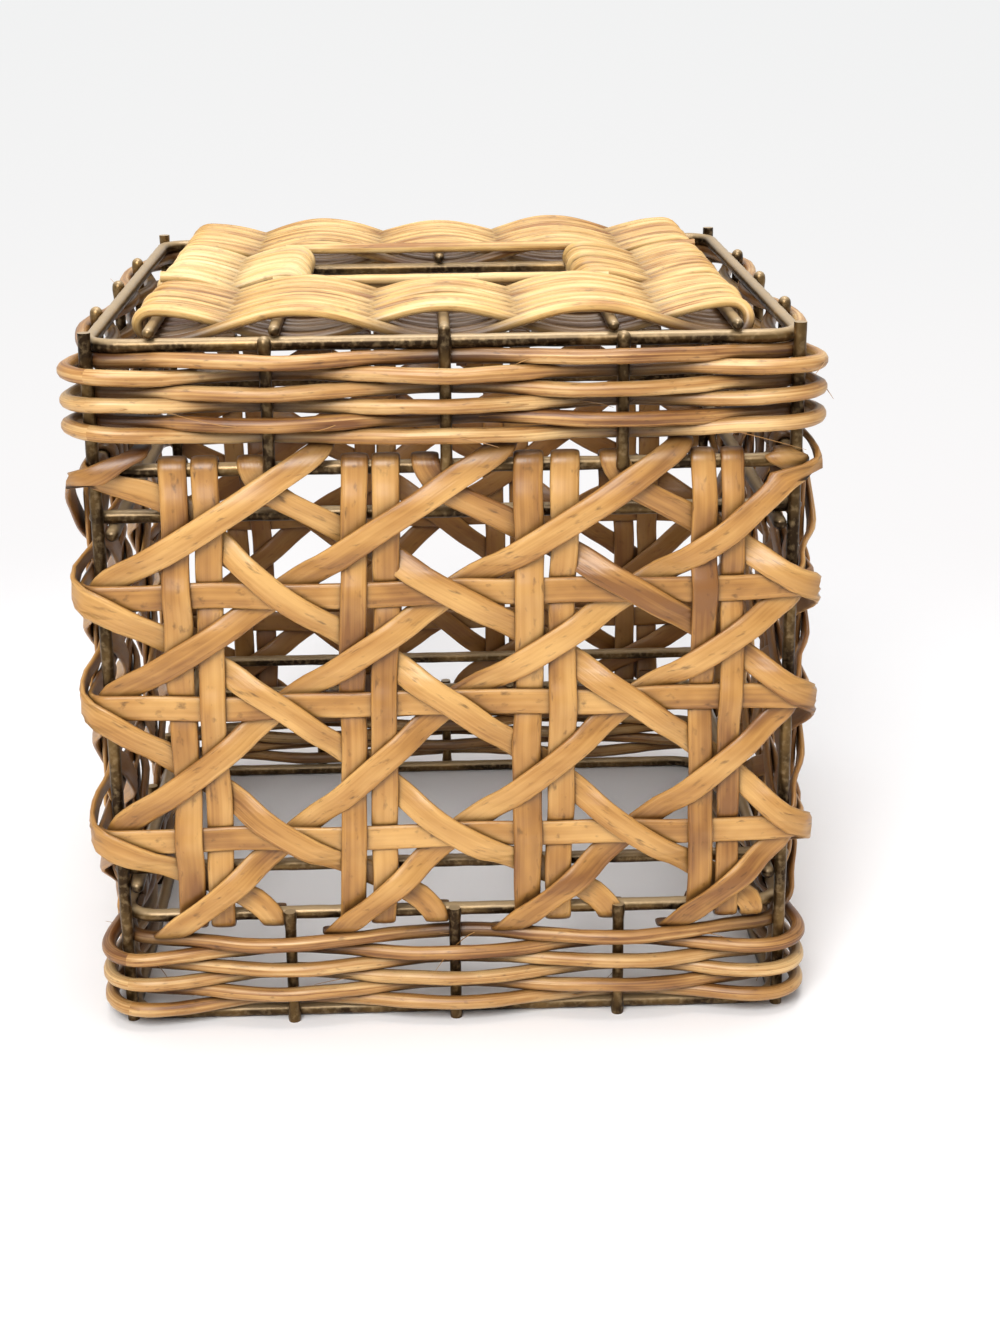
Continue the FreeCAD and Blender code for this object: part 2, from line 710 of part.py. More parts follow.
for name, stake_y in SHORT_STARTS.items():
    keep(rod(name, "sizes.top_stake_wire", ALONG_Y, SHORT_STAKE,
             "0", stake_y, "sizes.top_stake_height"), name)

# Slot wires cross under the stakes at the slot's front and back edges
SLOT_WIRE_START = "-sizes.top_stake_inner - sizes.top_stake_wire / 2"
SLOT_WIRE_LENGTH = "2 * sizes.top_stake_inner + sizes.top_stake_wire"
for side_name, sign in (("front", "-"), ("back", "")):
    wire = rod("slot_wire_" + side_name, "sizes.top_stake_wire", ALONG_X, SLOT_WIRE_LENGTH,
               SLOT_WIRE_START, sign + "sizes.slot_half_depth", "sizes.slot_wire_height")
    keep(wire, wire.Name)

# A straight reed lies along the slot's front wire, on the slot's side of it
EDGE_HALF = "(sizes.slot_half_length - sizes.slot_reed_gap)"
EDGE_STEP = "sizes.top_stake_wire / 2 + sizes.slot_reed_gap + sizes.top_reed / 2"
edge_reed = rod("slot_edge_reed", "sizes.top_reed", ALONG_X, "2 * " + EDGE_HALF,
                "-" + EDGE_HALF, "-sizes.slot_half_depth + " + EDGE_STEP, "sizes.slot_wire_height")
keep(edge_reed, "slot_edge_reed")

# Band reeds, numbered from the bottom of each band
for band in ("lower", "upper"):
    for number in range(BAND_ROWS):
        row_height = size(band + "_first_row") + number * size(band + "_row_pitch")
        band_reed("%s_band_reed_%d" % (band, number + 1), row_height, number % 2 == 0)

# Top reeds: whole rows in front of and behind the slot, short rows at its two ends
back_rows = spread(size("whole_row_start"), size("whole_row_end"))
front_rows = [-y for y in reversed(back_rows)]
short_rows = spread(-size("short_row_reach"), size("short_row_reach"))
end_stake = size("top_stake_end")
inner_stake = size("top_stake_inner")
all_stakes = [-end_stake, -inner_stake, 0, inner_stake, end_stake]
top_reed("top_reed_front", all_stakes, front_rows, 1)
top_reed("top_reed_left_of_slot", all_stakes[:2], short_rows, 0)
top_reed("top_reed_right_of_slot", all_stakes[-2:], short_rows, 1)
top_reed("top_reed_back", all_stakes, back_rows, 1)

# Girdle canes, numbered from the bottom
for number, share in enumerate(GIRDLE_SHARES, start=1):
    girdle_height = "sizes.lower_rail_height + %s * sizes.lattice_height" % share
    section = cane_section("girdle_section_%d" % number)
    hoop("girdle_cane_%d" % number, section, "girdle_out", "girdle_bend", girdle_height)

# Upright and diagonal canes, grouped by the side on which they stand or start
lattice = Lattice()
half_pair = size("cane_pair_spacing") / 2
for side, side_name in enumerate(SIDES):
    start = side * lattice.side + lattice.half_arc
    uprights = []
    for cell in range(CELLS_PER_SIDE):
        middle = start + (cell + PAIR_SHARE) * lattice.cell
        uprights.append(upright_cane(lattice, middle - half_pair, 1))
        uprights.append(upright_cane(lattice, middle + half_pair, -1))
    solid_feature("upright_canes_" + side_name, Part.makeCompound(uprights))
    for name, rising in (("rising", True), ("falling", False)):
        starts = range(side * CELLS_PER_SIDE, (side + 1) * CELLS_PER_SIDE)
        canes = [diagonal_cane(lattice, node, rising) for node in starts]
        solid_feature("%s_canes_%s" % (name, side_name), Part.makeCompound(canes))

doc.recompute()
for obj in doc.Objects:
    if "Invalid" in obj.State or "Error" in obj.State:
        raise RuntimeError("%s did not recompute" % obj.Label)
for obj in nodes:
    if obj.Shape.isNull() or not obj.Shape.isValid() or not obj.Shape.Solids:
        raise RuntimeError("%s is not a valid solid" % obj.Label)

os.makedirs("parts", exist_ok=True)
for obj in nodes:
    obj.Shape.exportStep("parts/%s.step" % obj.Label)
print("%d nodes, %d solids" % (len(nodes), sum(len(obj.Shape.Solids) for obj in nodes)))
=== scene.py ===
import math

import bpy
import numpy as np
from mathutils import Matrix, Vector


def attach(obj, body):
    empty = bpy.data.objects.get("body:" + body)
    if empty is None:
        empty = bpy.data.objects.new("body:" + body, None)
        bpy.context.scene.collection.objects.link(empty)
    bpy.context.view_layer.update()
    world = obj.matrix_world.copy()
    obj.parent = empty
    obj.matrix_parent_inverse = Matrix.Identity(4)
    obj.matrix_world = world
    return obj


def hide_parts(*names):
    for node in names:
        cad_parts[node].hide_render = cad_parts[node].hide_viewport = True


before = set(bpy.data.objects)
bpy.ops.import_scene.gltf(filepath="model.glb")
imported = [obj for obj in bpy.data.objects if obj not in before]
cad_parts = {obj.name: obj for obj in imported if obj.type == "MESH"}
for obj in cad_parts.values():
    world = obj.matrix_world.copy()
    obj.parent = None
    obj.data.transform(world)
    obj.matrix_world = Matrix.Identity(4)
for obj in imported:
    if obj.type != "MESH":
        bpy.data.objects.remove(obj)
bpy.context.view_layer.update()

# Woven tissue box cover: wire frame, reed bands, reed top with a slot, cane lattice sides.
# All lengths are in metres. The front looks along -Y, and +Z is up.

bl_info = {
    "name": "Woven tissue box cover",
    "version": (1, 0, 0),
    "blender": (4, 5, 0),
    "location": "View3D > Sidebar > Woven cover",
    "description": "Builds a woven reed and cane cover on a wire frame",
    "category": "Add Mesh",
}

MM = 0.001
SIDES = ("front", "right", "back", "left")
CORNERS = {"front_left": (-1, -1), "front_right": (1, -1), "back_right": (1, 1), "back_left": (-1, 1)}
CELLS = 4
BAND_ROWS = 6
GIRDLE_SHARES = (0.194, 0.497, 0.740)
# How far the canes of the front have drifted to the right: places across and drifts
DRIFT = (
    np.array((-64, -48, -16, 0, 16, 32, 48, 64)) * MM,
    np.array((0, 0.9, 0.6, 0.6, 2.0, 2.6, 1.8, 0)) * MM,
)
# How far the tops of the front's uprights lean to the right of their feet, pair by pair
LEANS = (0.8 * MM, 2.6 * MM, 0.9 * MM, -0.7 * MM)

# Mesh: points round a section or along a path, steps along a path, and the rounded ends of wires
ROUND_POINTS = 12
CANE_POINTS = 16
FIBRE_POINTS = 5
FIBRE_RINGS = 8
BEND_POINTS = 9
TURN_POINTS = 12
WAVE_POINTS = 13
SIDE_POINTS = 129
GIRDLE_POINTS = 400
SWEEP_POINTS = 24
PATH_STEP = 1.5 * MM
STAKE_STEP = 0.7 * MM
BAND_STEP = 1.0 * MM
TOP_STEP = 0.8 * MM
LATTICE_STEP = 1.4 * MM
FOLD_STEP = 0.45 * MM
SAME_PLACE = 1e-7
SHARP_EDGE = math.radians(50)
END_TURNS = np.radians((75, 50, 25))

# Wires: how far they reach past each other, the gap between them, and the beads at the welds
LOWER_STAKE_PAST = 1.3 * MM
UPPER_STAKE_PAST = 0.6 * MM
INNER_STAKE_PAST = 0.8 * MM
END_STAKE_PAST = 1.4 * MM
TIE_SHORT = 0.6 * MM
WIRE_GAP = 0.05 * MM
BEAD_LENGTH = 1.3 * MM
BEAD_SWELL = 0.18

# Unevenness: the length of a wave, and its size as a share of the radius or as a length
WAVE_SHARES = (1.0, 0.61, 0.37)
WIRE_UNEVEN = (9 * MM, 0.04)
REED_SWELL = (60 * MM, 0.05)
REED_FLATS = (14 * MM, 0.04)
ROW_WANDER = (70 * MM, 0.30 * MM)
ROW_RIPPLE = (30 * MM, 0.12 * MM)
CANE_SWAY = (45 * MM, 0.35 * MM)
CANE_SPREAD = (60 * MM, 0.05)
GIRDLE_SWAY = (60 * MM, 0.45 * MM)

# Bands: painted shade inside the stakes, and the push up at the corners, less with every row
BAND_EASE = 4
BAND_PAINTED_SHADE = 0.60
PUSH_REACH = 30 * MM
PUSH_FIRST = 1.7 * MM
PUSH_LESS = 0.27 * MM
# Split fibres on a band row: how far and how high they stand off, with lengths and radii in mm
FIBRES_PER_ROW = 7
FIBRE_OFF = (0.15, 0.5)
FIBRE_CLIMB = (-0.35, 0.25)
FIBRE_DROOP = 0.05
FIBRE_LENGTHS = (3, 9)
FIBRE_RADII = (0.11, 0.04)
FIBRE_ROOT = 0.9
FIBRE_TONE = 0.9

# Top: rows of each part, a row's unevenness, cut ends and painted shade where a row dips under, and the
# reed at the slot's front wire
WHOLE_ROWS = 15
SHORT_ROWS = 17
TOP_EASE = 1
ROW_CREST = (-0.16, 0.10)
ROW_LEAN = 0.32 * MM
ROW_TAIL = 3.0 * MM
TOP_PAINTED_SHADE = 0.85
TOP_PAINTED_SHADE_START = 0.40
EDGE_REACH = 26.3 * MM
EDGE_GAP = 0.15 * MM
EDGE_TONE = 0.8

# Cane: its section, the gaps it keeps, how far it steps over another, and its torn tails, with painted
# shade round its folds
EDGE_POWER = 0.55
FACE_POWER = 0.75
SKIN_FADE = 1.4
SKIN_EDGE = 0.35
RAIL_GAP = 0.1 * MM
POST_GAP = 0.3 * MM
CANE_STEP = 1.5 * MM
CROSSING = 7.0 * MM
CROSSING_POWER = 3
TORN_LENGTH = 4 * MM
TORN_AWAY = (0.3, 0.6)
TORN_SWAY = 1.2 * MM
FOLD_PAINTED_SHADE = 0.75
PAINTED_SHADE_BEFORE = 0.3 * MM
PAINTED_SHADE_LENGTH = 3.0 * MM
UPRIGHT_OFF = 0.3 * MM
UPRIGHT_TAILS = (0.5 * MM, 5.0 * MM)

# Diagonals: how far past its cell a cane goes on, its foot in cells, and its drops under the rail
# where it nears a corner
RISING = {"past": 2.7 * MM, "foot": 0.62, "drops": (12.0 * MM, 0.6 * MM, 0.0)}
FALLING = {"past": 4.2 * MM, "foot": 0.88, "drops": (6.0 * MM, 0.8 * MM, 0.0)}
CORNER_FOOT = 0.75
CORNER_PAST = 2.5 * MM
CORNER_NEAR = 14.0 * MM
CORNER_TAPER = 0.4
TAPER_BEFORE = 2 * MM
TAPER_LENGTH = 3 * MM
BEND_WINDOW = 4.0 * MM
CORNER_WINDOW = 2.0 * MM
WINDOW_POINTS = 17
RISING_TUCK = math.radians(100)
FALLING_TAILS = (2.0 * MM, 4.5 * MM)
TAIL_SHARES = (0.2, 2.0)
OVER_STAKE = 2.3 * MM
STEEPEST = 1.4
WAVE_FLAT = 1.3
END_DEEPER = 0.35
HALF_CELL = 0.5
FALLING_END = 0.64

# Plant fibre: where the shades lie, a piece's own share of the shade, and the shift that keeps the
# streaks of different pieces apart
SHADE_STOPS = (0.34, 0.49, 0.68)
TONE_SHARE = 0.14
TONE_SHIFT = 97.0

# Stage: a sheet of paper that sweeps up, two lamps and the camera that was fitted to the view
FLOOR_HALF_WIDTH = 4.0
FLOOR_FRONT = -3.0
FLOOR_BACK = 0.8
SWEEP = 0.9
BACKDROP_TOP = 4.0
PAPER_MOTTLE = 0.33
PAPER_TINTS = ((0.3, "#F1F0F0"), (0.7, "#F4F3F3"))
PAPER_WHITES = ((0.0, "#FCFAFA"), (1.0, "#EFF0F0"))
PAPER_ROUGHNESS = 0.7
SHADOW_NEAR = 0.13
SHADOW_FAR = 0.34
WHITE_NEAR = 0.25
WHITE_FAR = 1.6
ROOM_LIGHT = 0.42
ROOM_TINT = "#F6F6F8"
ROOM_WHITE = "#EFEFEE"
# each lamp's name, place, aim, size and power
LAMPS = (
    ("key", (-0.18, -0.72, 0.66), (0.0, 0.0, 0.07), 0.45, 8.5),
    ("top", (0.05, 0.05, 1.00), (0.0, 0.0, 0.10), 0.50, 5.8),
)
CAMERA_PLACE = Vector((-0.003472, -0.441656, 0.203623))
CAMERA_PITCH = 0.3342
CAMERA_YAW = 0.0341
CAMERA_ROLL = -0.0097
LENS_PIXELS = 2119.66
PHOTO_HEIGHT = 1333
SENSOR_HEIGHT = 24.0
CLIP_START = 0.01


def length_property(name, description, default_mm):
    """A length in the panel, in metres, with its default given in millimetres."""
    return bpy.props.FloatProperty(
        name=name, description=description, default=default_mm * MM, min=0.0, precision=5,
        unit="LENGTH", subtype="DISTANCE",
    )


class WovenCoverFrame(bpy.types.PropertyGroup):
    """The wire frame's sizes."""

    half_width: length_property("Half width", "Middle of the cover to a hoop's wire", 64.0)
    rail_wire: length_property("Hoop wire", "Diameter of the hoops' wire", 2.6)
    rail_bend: length_property("Hoop bend", "Corner radius of the hoops", 6.0)
    post_wire: length_property("Post wire", "Diameter of the corner posts", 2.4)
    post_place: length_property("Post place", "Middle of the cover to a corner post, in X and in Y", 64.046)
    post_height: length_property("Post height", "Top of the corner posts", 136.8)
    stake_wire: length_property("Stake wire", "Diameter of the band stakes", 2.2)
    stake_out: length_property("Stake place", "Middle of the cover to a band stake", 66.45)
    tie_wire: length_property("Tie wire", "Diameter of the tie wires", 2.6)
    tie_out: length_property("Tie place", "Middle of the cover to a tie wire", 61.45)
    lower_tie: length_property("Lower tie height", "Middle of the lower front tie wire", 31.6)
    upper_tie: length_property("Upper tie height", "Middle of the upper front tie wire", 102.3)
    lower_rail: length_property("Lower rail height", "Middle of the lower rail's wire", 22.4)
    upper_rail: length_property("Upper rail height", "Middle of the upper rail's wire", 111.5)
    top_rim: length_property("Top rim height", "Middle of the top rim's wire", 134.3)
    top_stake: length_property("Top stake height", "Middle of the top stakes", 136.75)
    end_stake: length_property("End stake place", "Middle of the cover to an end stake", 52.5)
    inner_stake: length_property("Inner stake place", "Middle of the cover to an inner stake", 30.3)
    slot_wire: length_property("Slot wire place", "Middle of the cover to a slot wire", 22.1)


class WovenCoverWeave(bpy.types.PropertyGroup):
    """The sizes of reed and cane."""

    band_reed: length_property("Band reed", "Diameter of the bands' reed", 2.85)
    band_swing: length_property("Band swing", "How far a band reed swings past a stake", 2.65)
    lower_first: length_property("Lower first row", "Height of the lower band's bottom row", 4.3)
    lower_pitch: length_property("Lower row pitch", "Row to row in the lower band", 2.7)
    upper_first: length_property("Upper first row", "Height of the upper band's bottom row", 117.8)
    upper_pitch: length_property("Upper row pitch", "Row to row in the upper band", 2.8)
    top_reed: length_property("Top reed", "Diameter of the top's reed", 2.12)
    top_swing: length_property("Top swing", "How far a top reed swings past a stake", 2.7)
    short_reach: length_property("Short rows", "Middle of the cover to the last short row", 19.75)
    whole_start: length_property("Whole rows start", "Middle of the cover to the first whole row", 24.45)
    whole_end: length_property("Whole rows end", "Middle of the cover to the last whole row", 59.95)
    trim_reach: length_property("Slot trim", "Half length of the reeds along the slot", 33.0)
    cane_width: length_property("Cane width", "Width of the flat cane", 5.0)
    cane_thickness: length_property("Cane thickness", "Thickness of the flat cane", 1.25)
    pair_spacing: length_property("Pair spacing", "Middle to middle of a pair of uprights", 5.8)
    seed: bpy.props.IntProperty(name="Seed", description="Seed of all irregularity", default=7, min=0)


def to_linear(colour):
    """A colour written as on the web, as linear light."""
    parts = [int(colour[start:start + 2], 16) / 255 for start in (1, 3, 5)]
    return [part / 12.92 if part <= 0.04045 else ((part + 0.055) / 1.055) ** 2.4 for part in parts] + [1.0]


def colour_property(name, description, default):
    """A colour in the panel, with its default written as on the web."""
    return bpy.props.FloatVectorProperty(
        name=name, description=description, default=to_linear(default), min=0.0, max=1.0,
        size=4, subtype="COLOR",
    )


class WovenCoverColours(bpy.types.PropertyGroup):
    """The colours of reed, cane and wire."""

    band_pale: colour_property("Band reed, pale", "Palest fibres of the bands' reed", "#DAB47A")
    band_middle: colour_property("Band reed", "Common colour of the bands' reed", "#AB7B42")
    band_deep: colour_property("Band reed, deep", "Darkest fibres of the bands' reed", "#6E421B")
    # the darkest colour also paints the shade in the bands' crevices and inside the stakes, besides the
    # brown flecks
    band_shadow: colour_property("Band reed, stain", "Stain in the bands' crevices", "#281104")
    top_pale: colour_property("Top reed, pale", "Palest fibres of the top's reed", "#EACB92")
    top_middle: colour_property("Top reed", "Common colour of the top's reed", "#D8AE6A")
    top_deep: colour_property("Top reed, deep", "Darkest fibres of the top's reed", "#9C692F")
    # the darkest colour also paints the shade in the top's crevices and where a row dips under, besides the
    # brown flecks
    top_shadow: colour_property("Top reed, stain", "Stain in the top's crevices", "#3A1D08")
    cane_pale: colour_property("Cane, pale", "Palest fibres of the cane", "#CC9D5B")
    cane_middle: colour_property("Cane", "Common colour of the cane", "#AE7C3D")
    cane_deep: colour_property("Cane, deep", "Darkest fibres of the cane", "#7F5122")
    # the darkest colour also paints the shade in the lattice's crevices and round the folds, besides the
    # brown flecks
    cane_shadow: colour_property("Cane, stain", "Stain in the lattice's crevices", "#301707")
    wire_lacquer: colour_property("Wire lacquer", "Dark lacquer on the wire", "#2E2010")
    wire_worn: colour_property("Worn wire", "Dull gold where the lacquer is worn", "#86693F")
    # the dust colour also paints the light on the wires' upper sides, besides the dust specks
    wire_dust: colour_property("Wire dust", "Dust on the wire", "#B59A72")


def sizes():
    return bpy.context.scene.woven_cover_frame


def weave():
    return bpy.context.scene.woven_cover_weave


def colours():
    return bpy.context.scene.woven_cover_colours


def chance(*words):
    """A random source of its own for each piece, the same in every run."""
    key = [weave().seed] + [ord(letter) for word in words for letter in str(word)]
    return np.random.default_rng(key)


def wander(rng, run, period, size):
    """A gentle, closed wander along a run: a few waves of different length."""
    total = np.zeros(len(run))
    span = run[-1] - run[0]
    for share in WAVE_SHARES:
        waves = max(round(span / (period * share)), 1)
        total += share * np.sin(2 * math.pi * waves * (run - run[0]) / span + rng.uniform(0, 2 * math.pi))
    return total * size / 2


# Paths


def runs_of(points, closed):
    ends = np.vstack([points, points[:1]]) if closed else points
    return np.concatenate([[0], np.cumsum(np.linalg.norm(np.diff(ends, axis=0), axis=1))])


def resample(points, step, closed):
    """The same path with points an even step apart."""
    points = np.asarray(points, float)
    run = runs_of(points, closed)
    ends = np.vstack([points, points[:1]]) if closed else points
    count = max(int(round(run[-1] / step)), 2)
    places = np.linspace(0, run[-1], count + 1)
    if closed:
        places = places[:-1]
    return np.column_stack([np.interp(places, run, ends[:, axis]) for axis in range(3)])


def eased_path(points, window, closed):
    """The path averaged over a window of points, so that corners turn gently."""
    pad = np.pad(points, ((window, window), (0, 0)), mode="wrap" if closed else "edge")
    total = np.vstack([np.zeros((1, 3)), np.cumsum(pad, axis=0)])
    width = 2 * window + 1
    return (total[width:] - total[:-width]) / width


def directions(points, closed):
    if closed:
        ahead = np.roll(points, -1, axis=0) - np.roll(points, 1, axis=0)
    else:
        ahead = np.gradient(points, axis=0)
    return ahead / np.linalg.norm(ahead, axis=1)[:, None]


def round_rings(points, radius, closed, around=ROUND_POINTS, round_ends=False):
    """Rings of a round section along a path, without twist."""
    points = np.asarray(points, float)
    radius = np.broadcast_to(np.asarray(radius, float), (len(points),)).copy()
    if round_ends:
        ahead = directions(points, False)
        start = [points[0] - ahead[0] * radius[0] * math.sin(turn) for turn in END_TURNS]
        end = [points[-1] + ahead[-1] * radius[-1] * math.sin(turn) for turn in END_TURNS[::-1]]
        thin = np.cos(END_TURNS)
        points = np.vstack([start, points, end])
        radius = np.concatenate([radius[0] * thin, radius, radius[-1] * thin[::-1]])
    ahead = directions(points, closed)
    if round_ends:
        caps = len(END_TURNS)
        ahead[:caps] = ahead[caps]
        ahead[-caps:] = ahead[-caps - 1]
    # any direction does to start from, as long as no path begins along it
    side = np.cross(ahead[0], (0.31, 0.17, 0.93))
    sides = np.zeros_like(points)
    for number, way in enumerate(ahead):
        side = side - way * np.dot(side, way)
        side = side / np.linalg.norm(side)
        sides[number] = side
    others = np.cross(ahead, sides)
    turns = np.linspace(0, 2 * math.pi, around, endpoint=False)
    if closed:
        # the twist left over at the seam is spread round the loop
        last = sides[-1] - ahead[0] * np.dot(sides[-1], ahead[0])
        twist = math.atan2(np.dot(last, others[0]), np.dot(last, sides[0]))
        slip = np.linspace(0, -twist, len(points))
    else:
        slip = np.zeros(len(points))
    angle = turns[None, :] + slip[:, None]
    wide = np.cos(angle)[:, :, None] * sides[:, None, :] + np.sin(angle)[:, :, None] * others[:, None, :]
    return points[:, None, :] + wide * radius[:, None, None]


# Modelling


def roll(name, rings, closed, tone=0.5, stain=None, skin=None):
    """A grid rolled up into a tube: one row of its vertices for each ring.

    Three marks are kept on the vertices for the material: tone, a shade for the whole piece; a mark of
    painted shade along it; and skin, 1 on the outer skin of a flat cane.
    """
    bpy.ops.object.select_all(action="DESELECT")
    count, around = rings.shape[:2]
    rows = count if closed else count - 1
    bpy.ops.mesh.primitive_grid_add(x_subdivisions=around, y_subdivisions=rows, size=2, calc_uvs=True)
    piece = bpy.context.object
    piece.name = name
    mesh = piece.data
    flat = np.empty(len(mesh.vertices) * 3)
    mesh.vertices.foreach_get("co", flat)
    flat = flat.reshape(-1, 3)
    column = np.rint((flat[:, 0] + 1) / 2 * around).astype(int) % around
    row = np.rint((flat[:, 1] + 1) / 2 * rows).astype(int) % count
    mesh.vertices.foreach_set("co", rings[row, column].ravel())
    middle = rings.mean(axis=1)
    run = runs_of(middle, closed)[-1]
    girth = runs_of(rings[count // 2], True)[-1]
    uv = np.empty(len(mesh.loops) * 2)
    layer = mesh.uv_layers[0].data
    layer.foreach_get("uv", uv)
    uv = uv.reshape(-1, 2) * (girth, run)
    layer.foreach_set("uv", uv.ravel())
    marks = {
        "tone": np.full(len(row), tone),
        "stain": np.zeros(len(row)) if stain is None else np.asarray(stain)[row],
        "skin": np.ones(len(row)) if skin is None else np.asarray(skin)[column],
    }
    for mark, values in marks.items():
        mesh.attributes.new(mark, "FLOAT", "POINT").data.foreach_set("value", values)
    mesh.update()
    bpy.ops.object.mode_set(mode="EDIT")
    bpy.ops.mesh.select_all(action="SELECT")
    bpy.ops.mesh.remove_doubles(threshold=SAME_PLACE)
    if not closed:
        bpy.ops.mesh.fill_holes(sides=0)
    bpy.ops.mesh.select_all(action="SELECT")
    bpy.ops.mesh.normals_make_consistent(inside=False)
    bpy.ops.object.mode_set(mode="OBJECT")
    bpy.ops.object.shade_smooth_by_angle(angle=SHARP_EDGE)
    return piece


def join(name, pieces):
    """Like pieces of one node as one object."""
    bpy.ops.object.select_all(action="DESELECT")
    for piece in pieces:
        piece.select_set(True)
    bpy.context.view_layer.objects.active = pieces[0]
    if len(pieces) > 1:
        bpy.ops.object.join()
    joined = bpy.context.object
    joined.name = name
    return joined


def finish_piece(piece, node, material):
    """Gives a piece its place in the frame and its material, and hides the model's node that it stands for.
    """
    piece.data.materials.clear()
    piece.data.materials.append(material)
    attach(piece, "root")
    if node:
        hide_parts(node)
    return piece


# Materials


def add_node(tree, kind, inputs=None, stops=(), **settings):
    """Adds a shader node with its settings, colour stops, and values or links for its inputs."""
    node = tree.nodes.new(kind)
    for name, value in settings.items():
        setattr(node, name, value)
    for name, value in (inputs or {}).items():
        if isinstance(value, bpy.types.NodeSocket):
            tree.links.new(value, node.inputs[name])
        else:
            node.inputs[name].default_value = value
    for number, (place, colour) in enumerate(stops):
        marks = node.color_ramp.elements
        mark = marks[number] if number < len(marks) else marks.new(place)
        mark.position = place
        mark.color = colour
    return node


def new_material(name):
    material = bpy.data.materials.new(name)
    material.use_nodes = True
    tree = material.node_tree
    tree.nodes.clear()
    surface = add_node(tree, "ShaderNodeBsdfPrincipled")
    add_node(tree, "ShaderNodeOutputMaterial", {"Surface": surface.outputs["BSDF"]})
    return material, tree, surface


def fibre_noise(tree, tone, length, width, detail=3.0):
    """Streaks of a real length and width along the fibre, different on every piece by its tone."""
    place = add_node(tree, "ShaderNodeUVMap").outputs["UV"]
    layer = add_node(tree, "ShaderNodeMath", {0: tone, 1: TONE_SHIFT},
                     operation="MULTIPLY").outputs["Value"]
    shift = add_node(tree, "ShaderNodeCombineXYZ", {"Z": layer}).outputs["Vector"]
    drawn = add_node(tree, "ShaderNodeMapping", {
        "Vector": place, "Location": shift, "Scale": (1 / width, 1 / length, 1.0)}).outputs["Vector"]
    return add_node(tree, "ShaderNodeTexNoise", {
        "Vector": drawn, "Scale": 1.0, "Detail": detail}).outputs["Fac"]


def plant_material(name, shades, streak_share, fleck_share, shade_free_openness, rough):
    """Rattan reed or cane, split, stained and rubbed: long fibre streaks, brown flecks, a dull sheen.

    The streaks and fine grooves follow the fibre, so a bend shows as a bend. Painted shade darkens
    the crevices of the weave and a reed along its painted-shade mark. Real fibres are about 0.2 mm wide,
    and are drawn about twice as wide so that they show.
    """
    pale, middle, deep, shadow = shades
    material, tree, surface = new_material(name)
    tone, stain, skin = (add_node(tree, "ShaderNodeAttribute", attribute_name=mark).outputs["Fac"]
                         for mark in ("tone", "stain", "skin"))
    streaks = fibre_noise(tree, tone, length=62 * MM, width=0.38 * MM)
    patches = fibre_noise(tree, tone, length=18 * MM, width=4.5 * MM)
    flecks = fibre_noise(tree, tone, length=2.4 * MM, width=0.77 * MM, detail=4.0)
    # a middling tone leaves the shade as it is
    shade = -TONE_SHARE / 2
    for part, weight in ((streaks, streak_share), (patches, 1 - streak_share), (tone, TONE_SHARE)):
        shade = add_node(tree, "ShaderNodeMath", {0: part, 1: weight, 2: shade},
                         operation="MULTIPLY_ADD").outputs["Value"]
    colour = add_node(tree, "ShaderNodeValToRGB", {"Fac": shade},
                      zip(SHADE_STOPS, (deep, middle, pale))).outputs["Color"]
    fleck = add_node(tree, "ShaderNodeMapRange", {
        "Value": flecks, "From Min": 0.60, "From Max": 0.78, "To Max": fleck_share}).outputs["Result"]
    # a cane's colour goes deeper on its cut edges and its back, where its skin mark is low
    dull = add_node(tree, "ShaderNodeMapRange", {
        "Value": skin, "To Min": 0.55, "To Max": 0.0}).outputs["Result"]
    # painted shade: where the occlusion node finds the weave closed in, the colour is darkened towards the
    # darkest colour
    open_sky = add_node(tree, "ShaderNodeAmbientOcclusion", {"Distance": 4.0 * MM}, samples=6).outputs["AO"]
    crevice_shade = add_node(tree, "ShaderNodeMapRange", {
        "Value": open_sky, "From Min": 0.20, "From Max": shade_free_openness,
        "To Min": 0.85, "To Max": 0.0}).outputs["Result"]
    # over the colour go in turn the brown flecks, a deeper colour on a cane's cut edges and back, painted
    # shade along a reed, and painted shade in the crevices
    # sockets 6 and 7 of a mix of colours are its two colours, and output 2 is the mixed one
    for share, over in ((fleck, shadow), (dull, deep), (stain, shadow), (crevice_shade, shadow)):
        colour = add_node(tree, "ShaderNodeMix", {0: share, 6: colour, 7: over},
                          data_type="RGBA").outputs[2]
    tree.links.new(colour, surface.inputs["Base Color"])
    surface.inputs["Roughness"].default_value = rough
    grooves = fibre_noise(tree, tone, length=25 * MM, width=0.24 * MM, detail=2.0)
    bump = add_node(tree, "ShaderNodeBump", {"Height": grooves, "Strength": 0.35, "Distance": 0.15 * MM})
    tree.links.new(bump.outputs["Normal"], surface.inputs["Normal"])
    return material


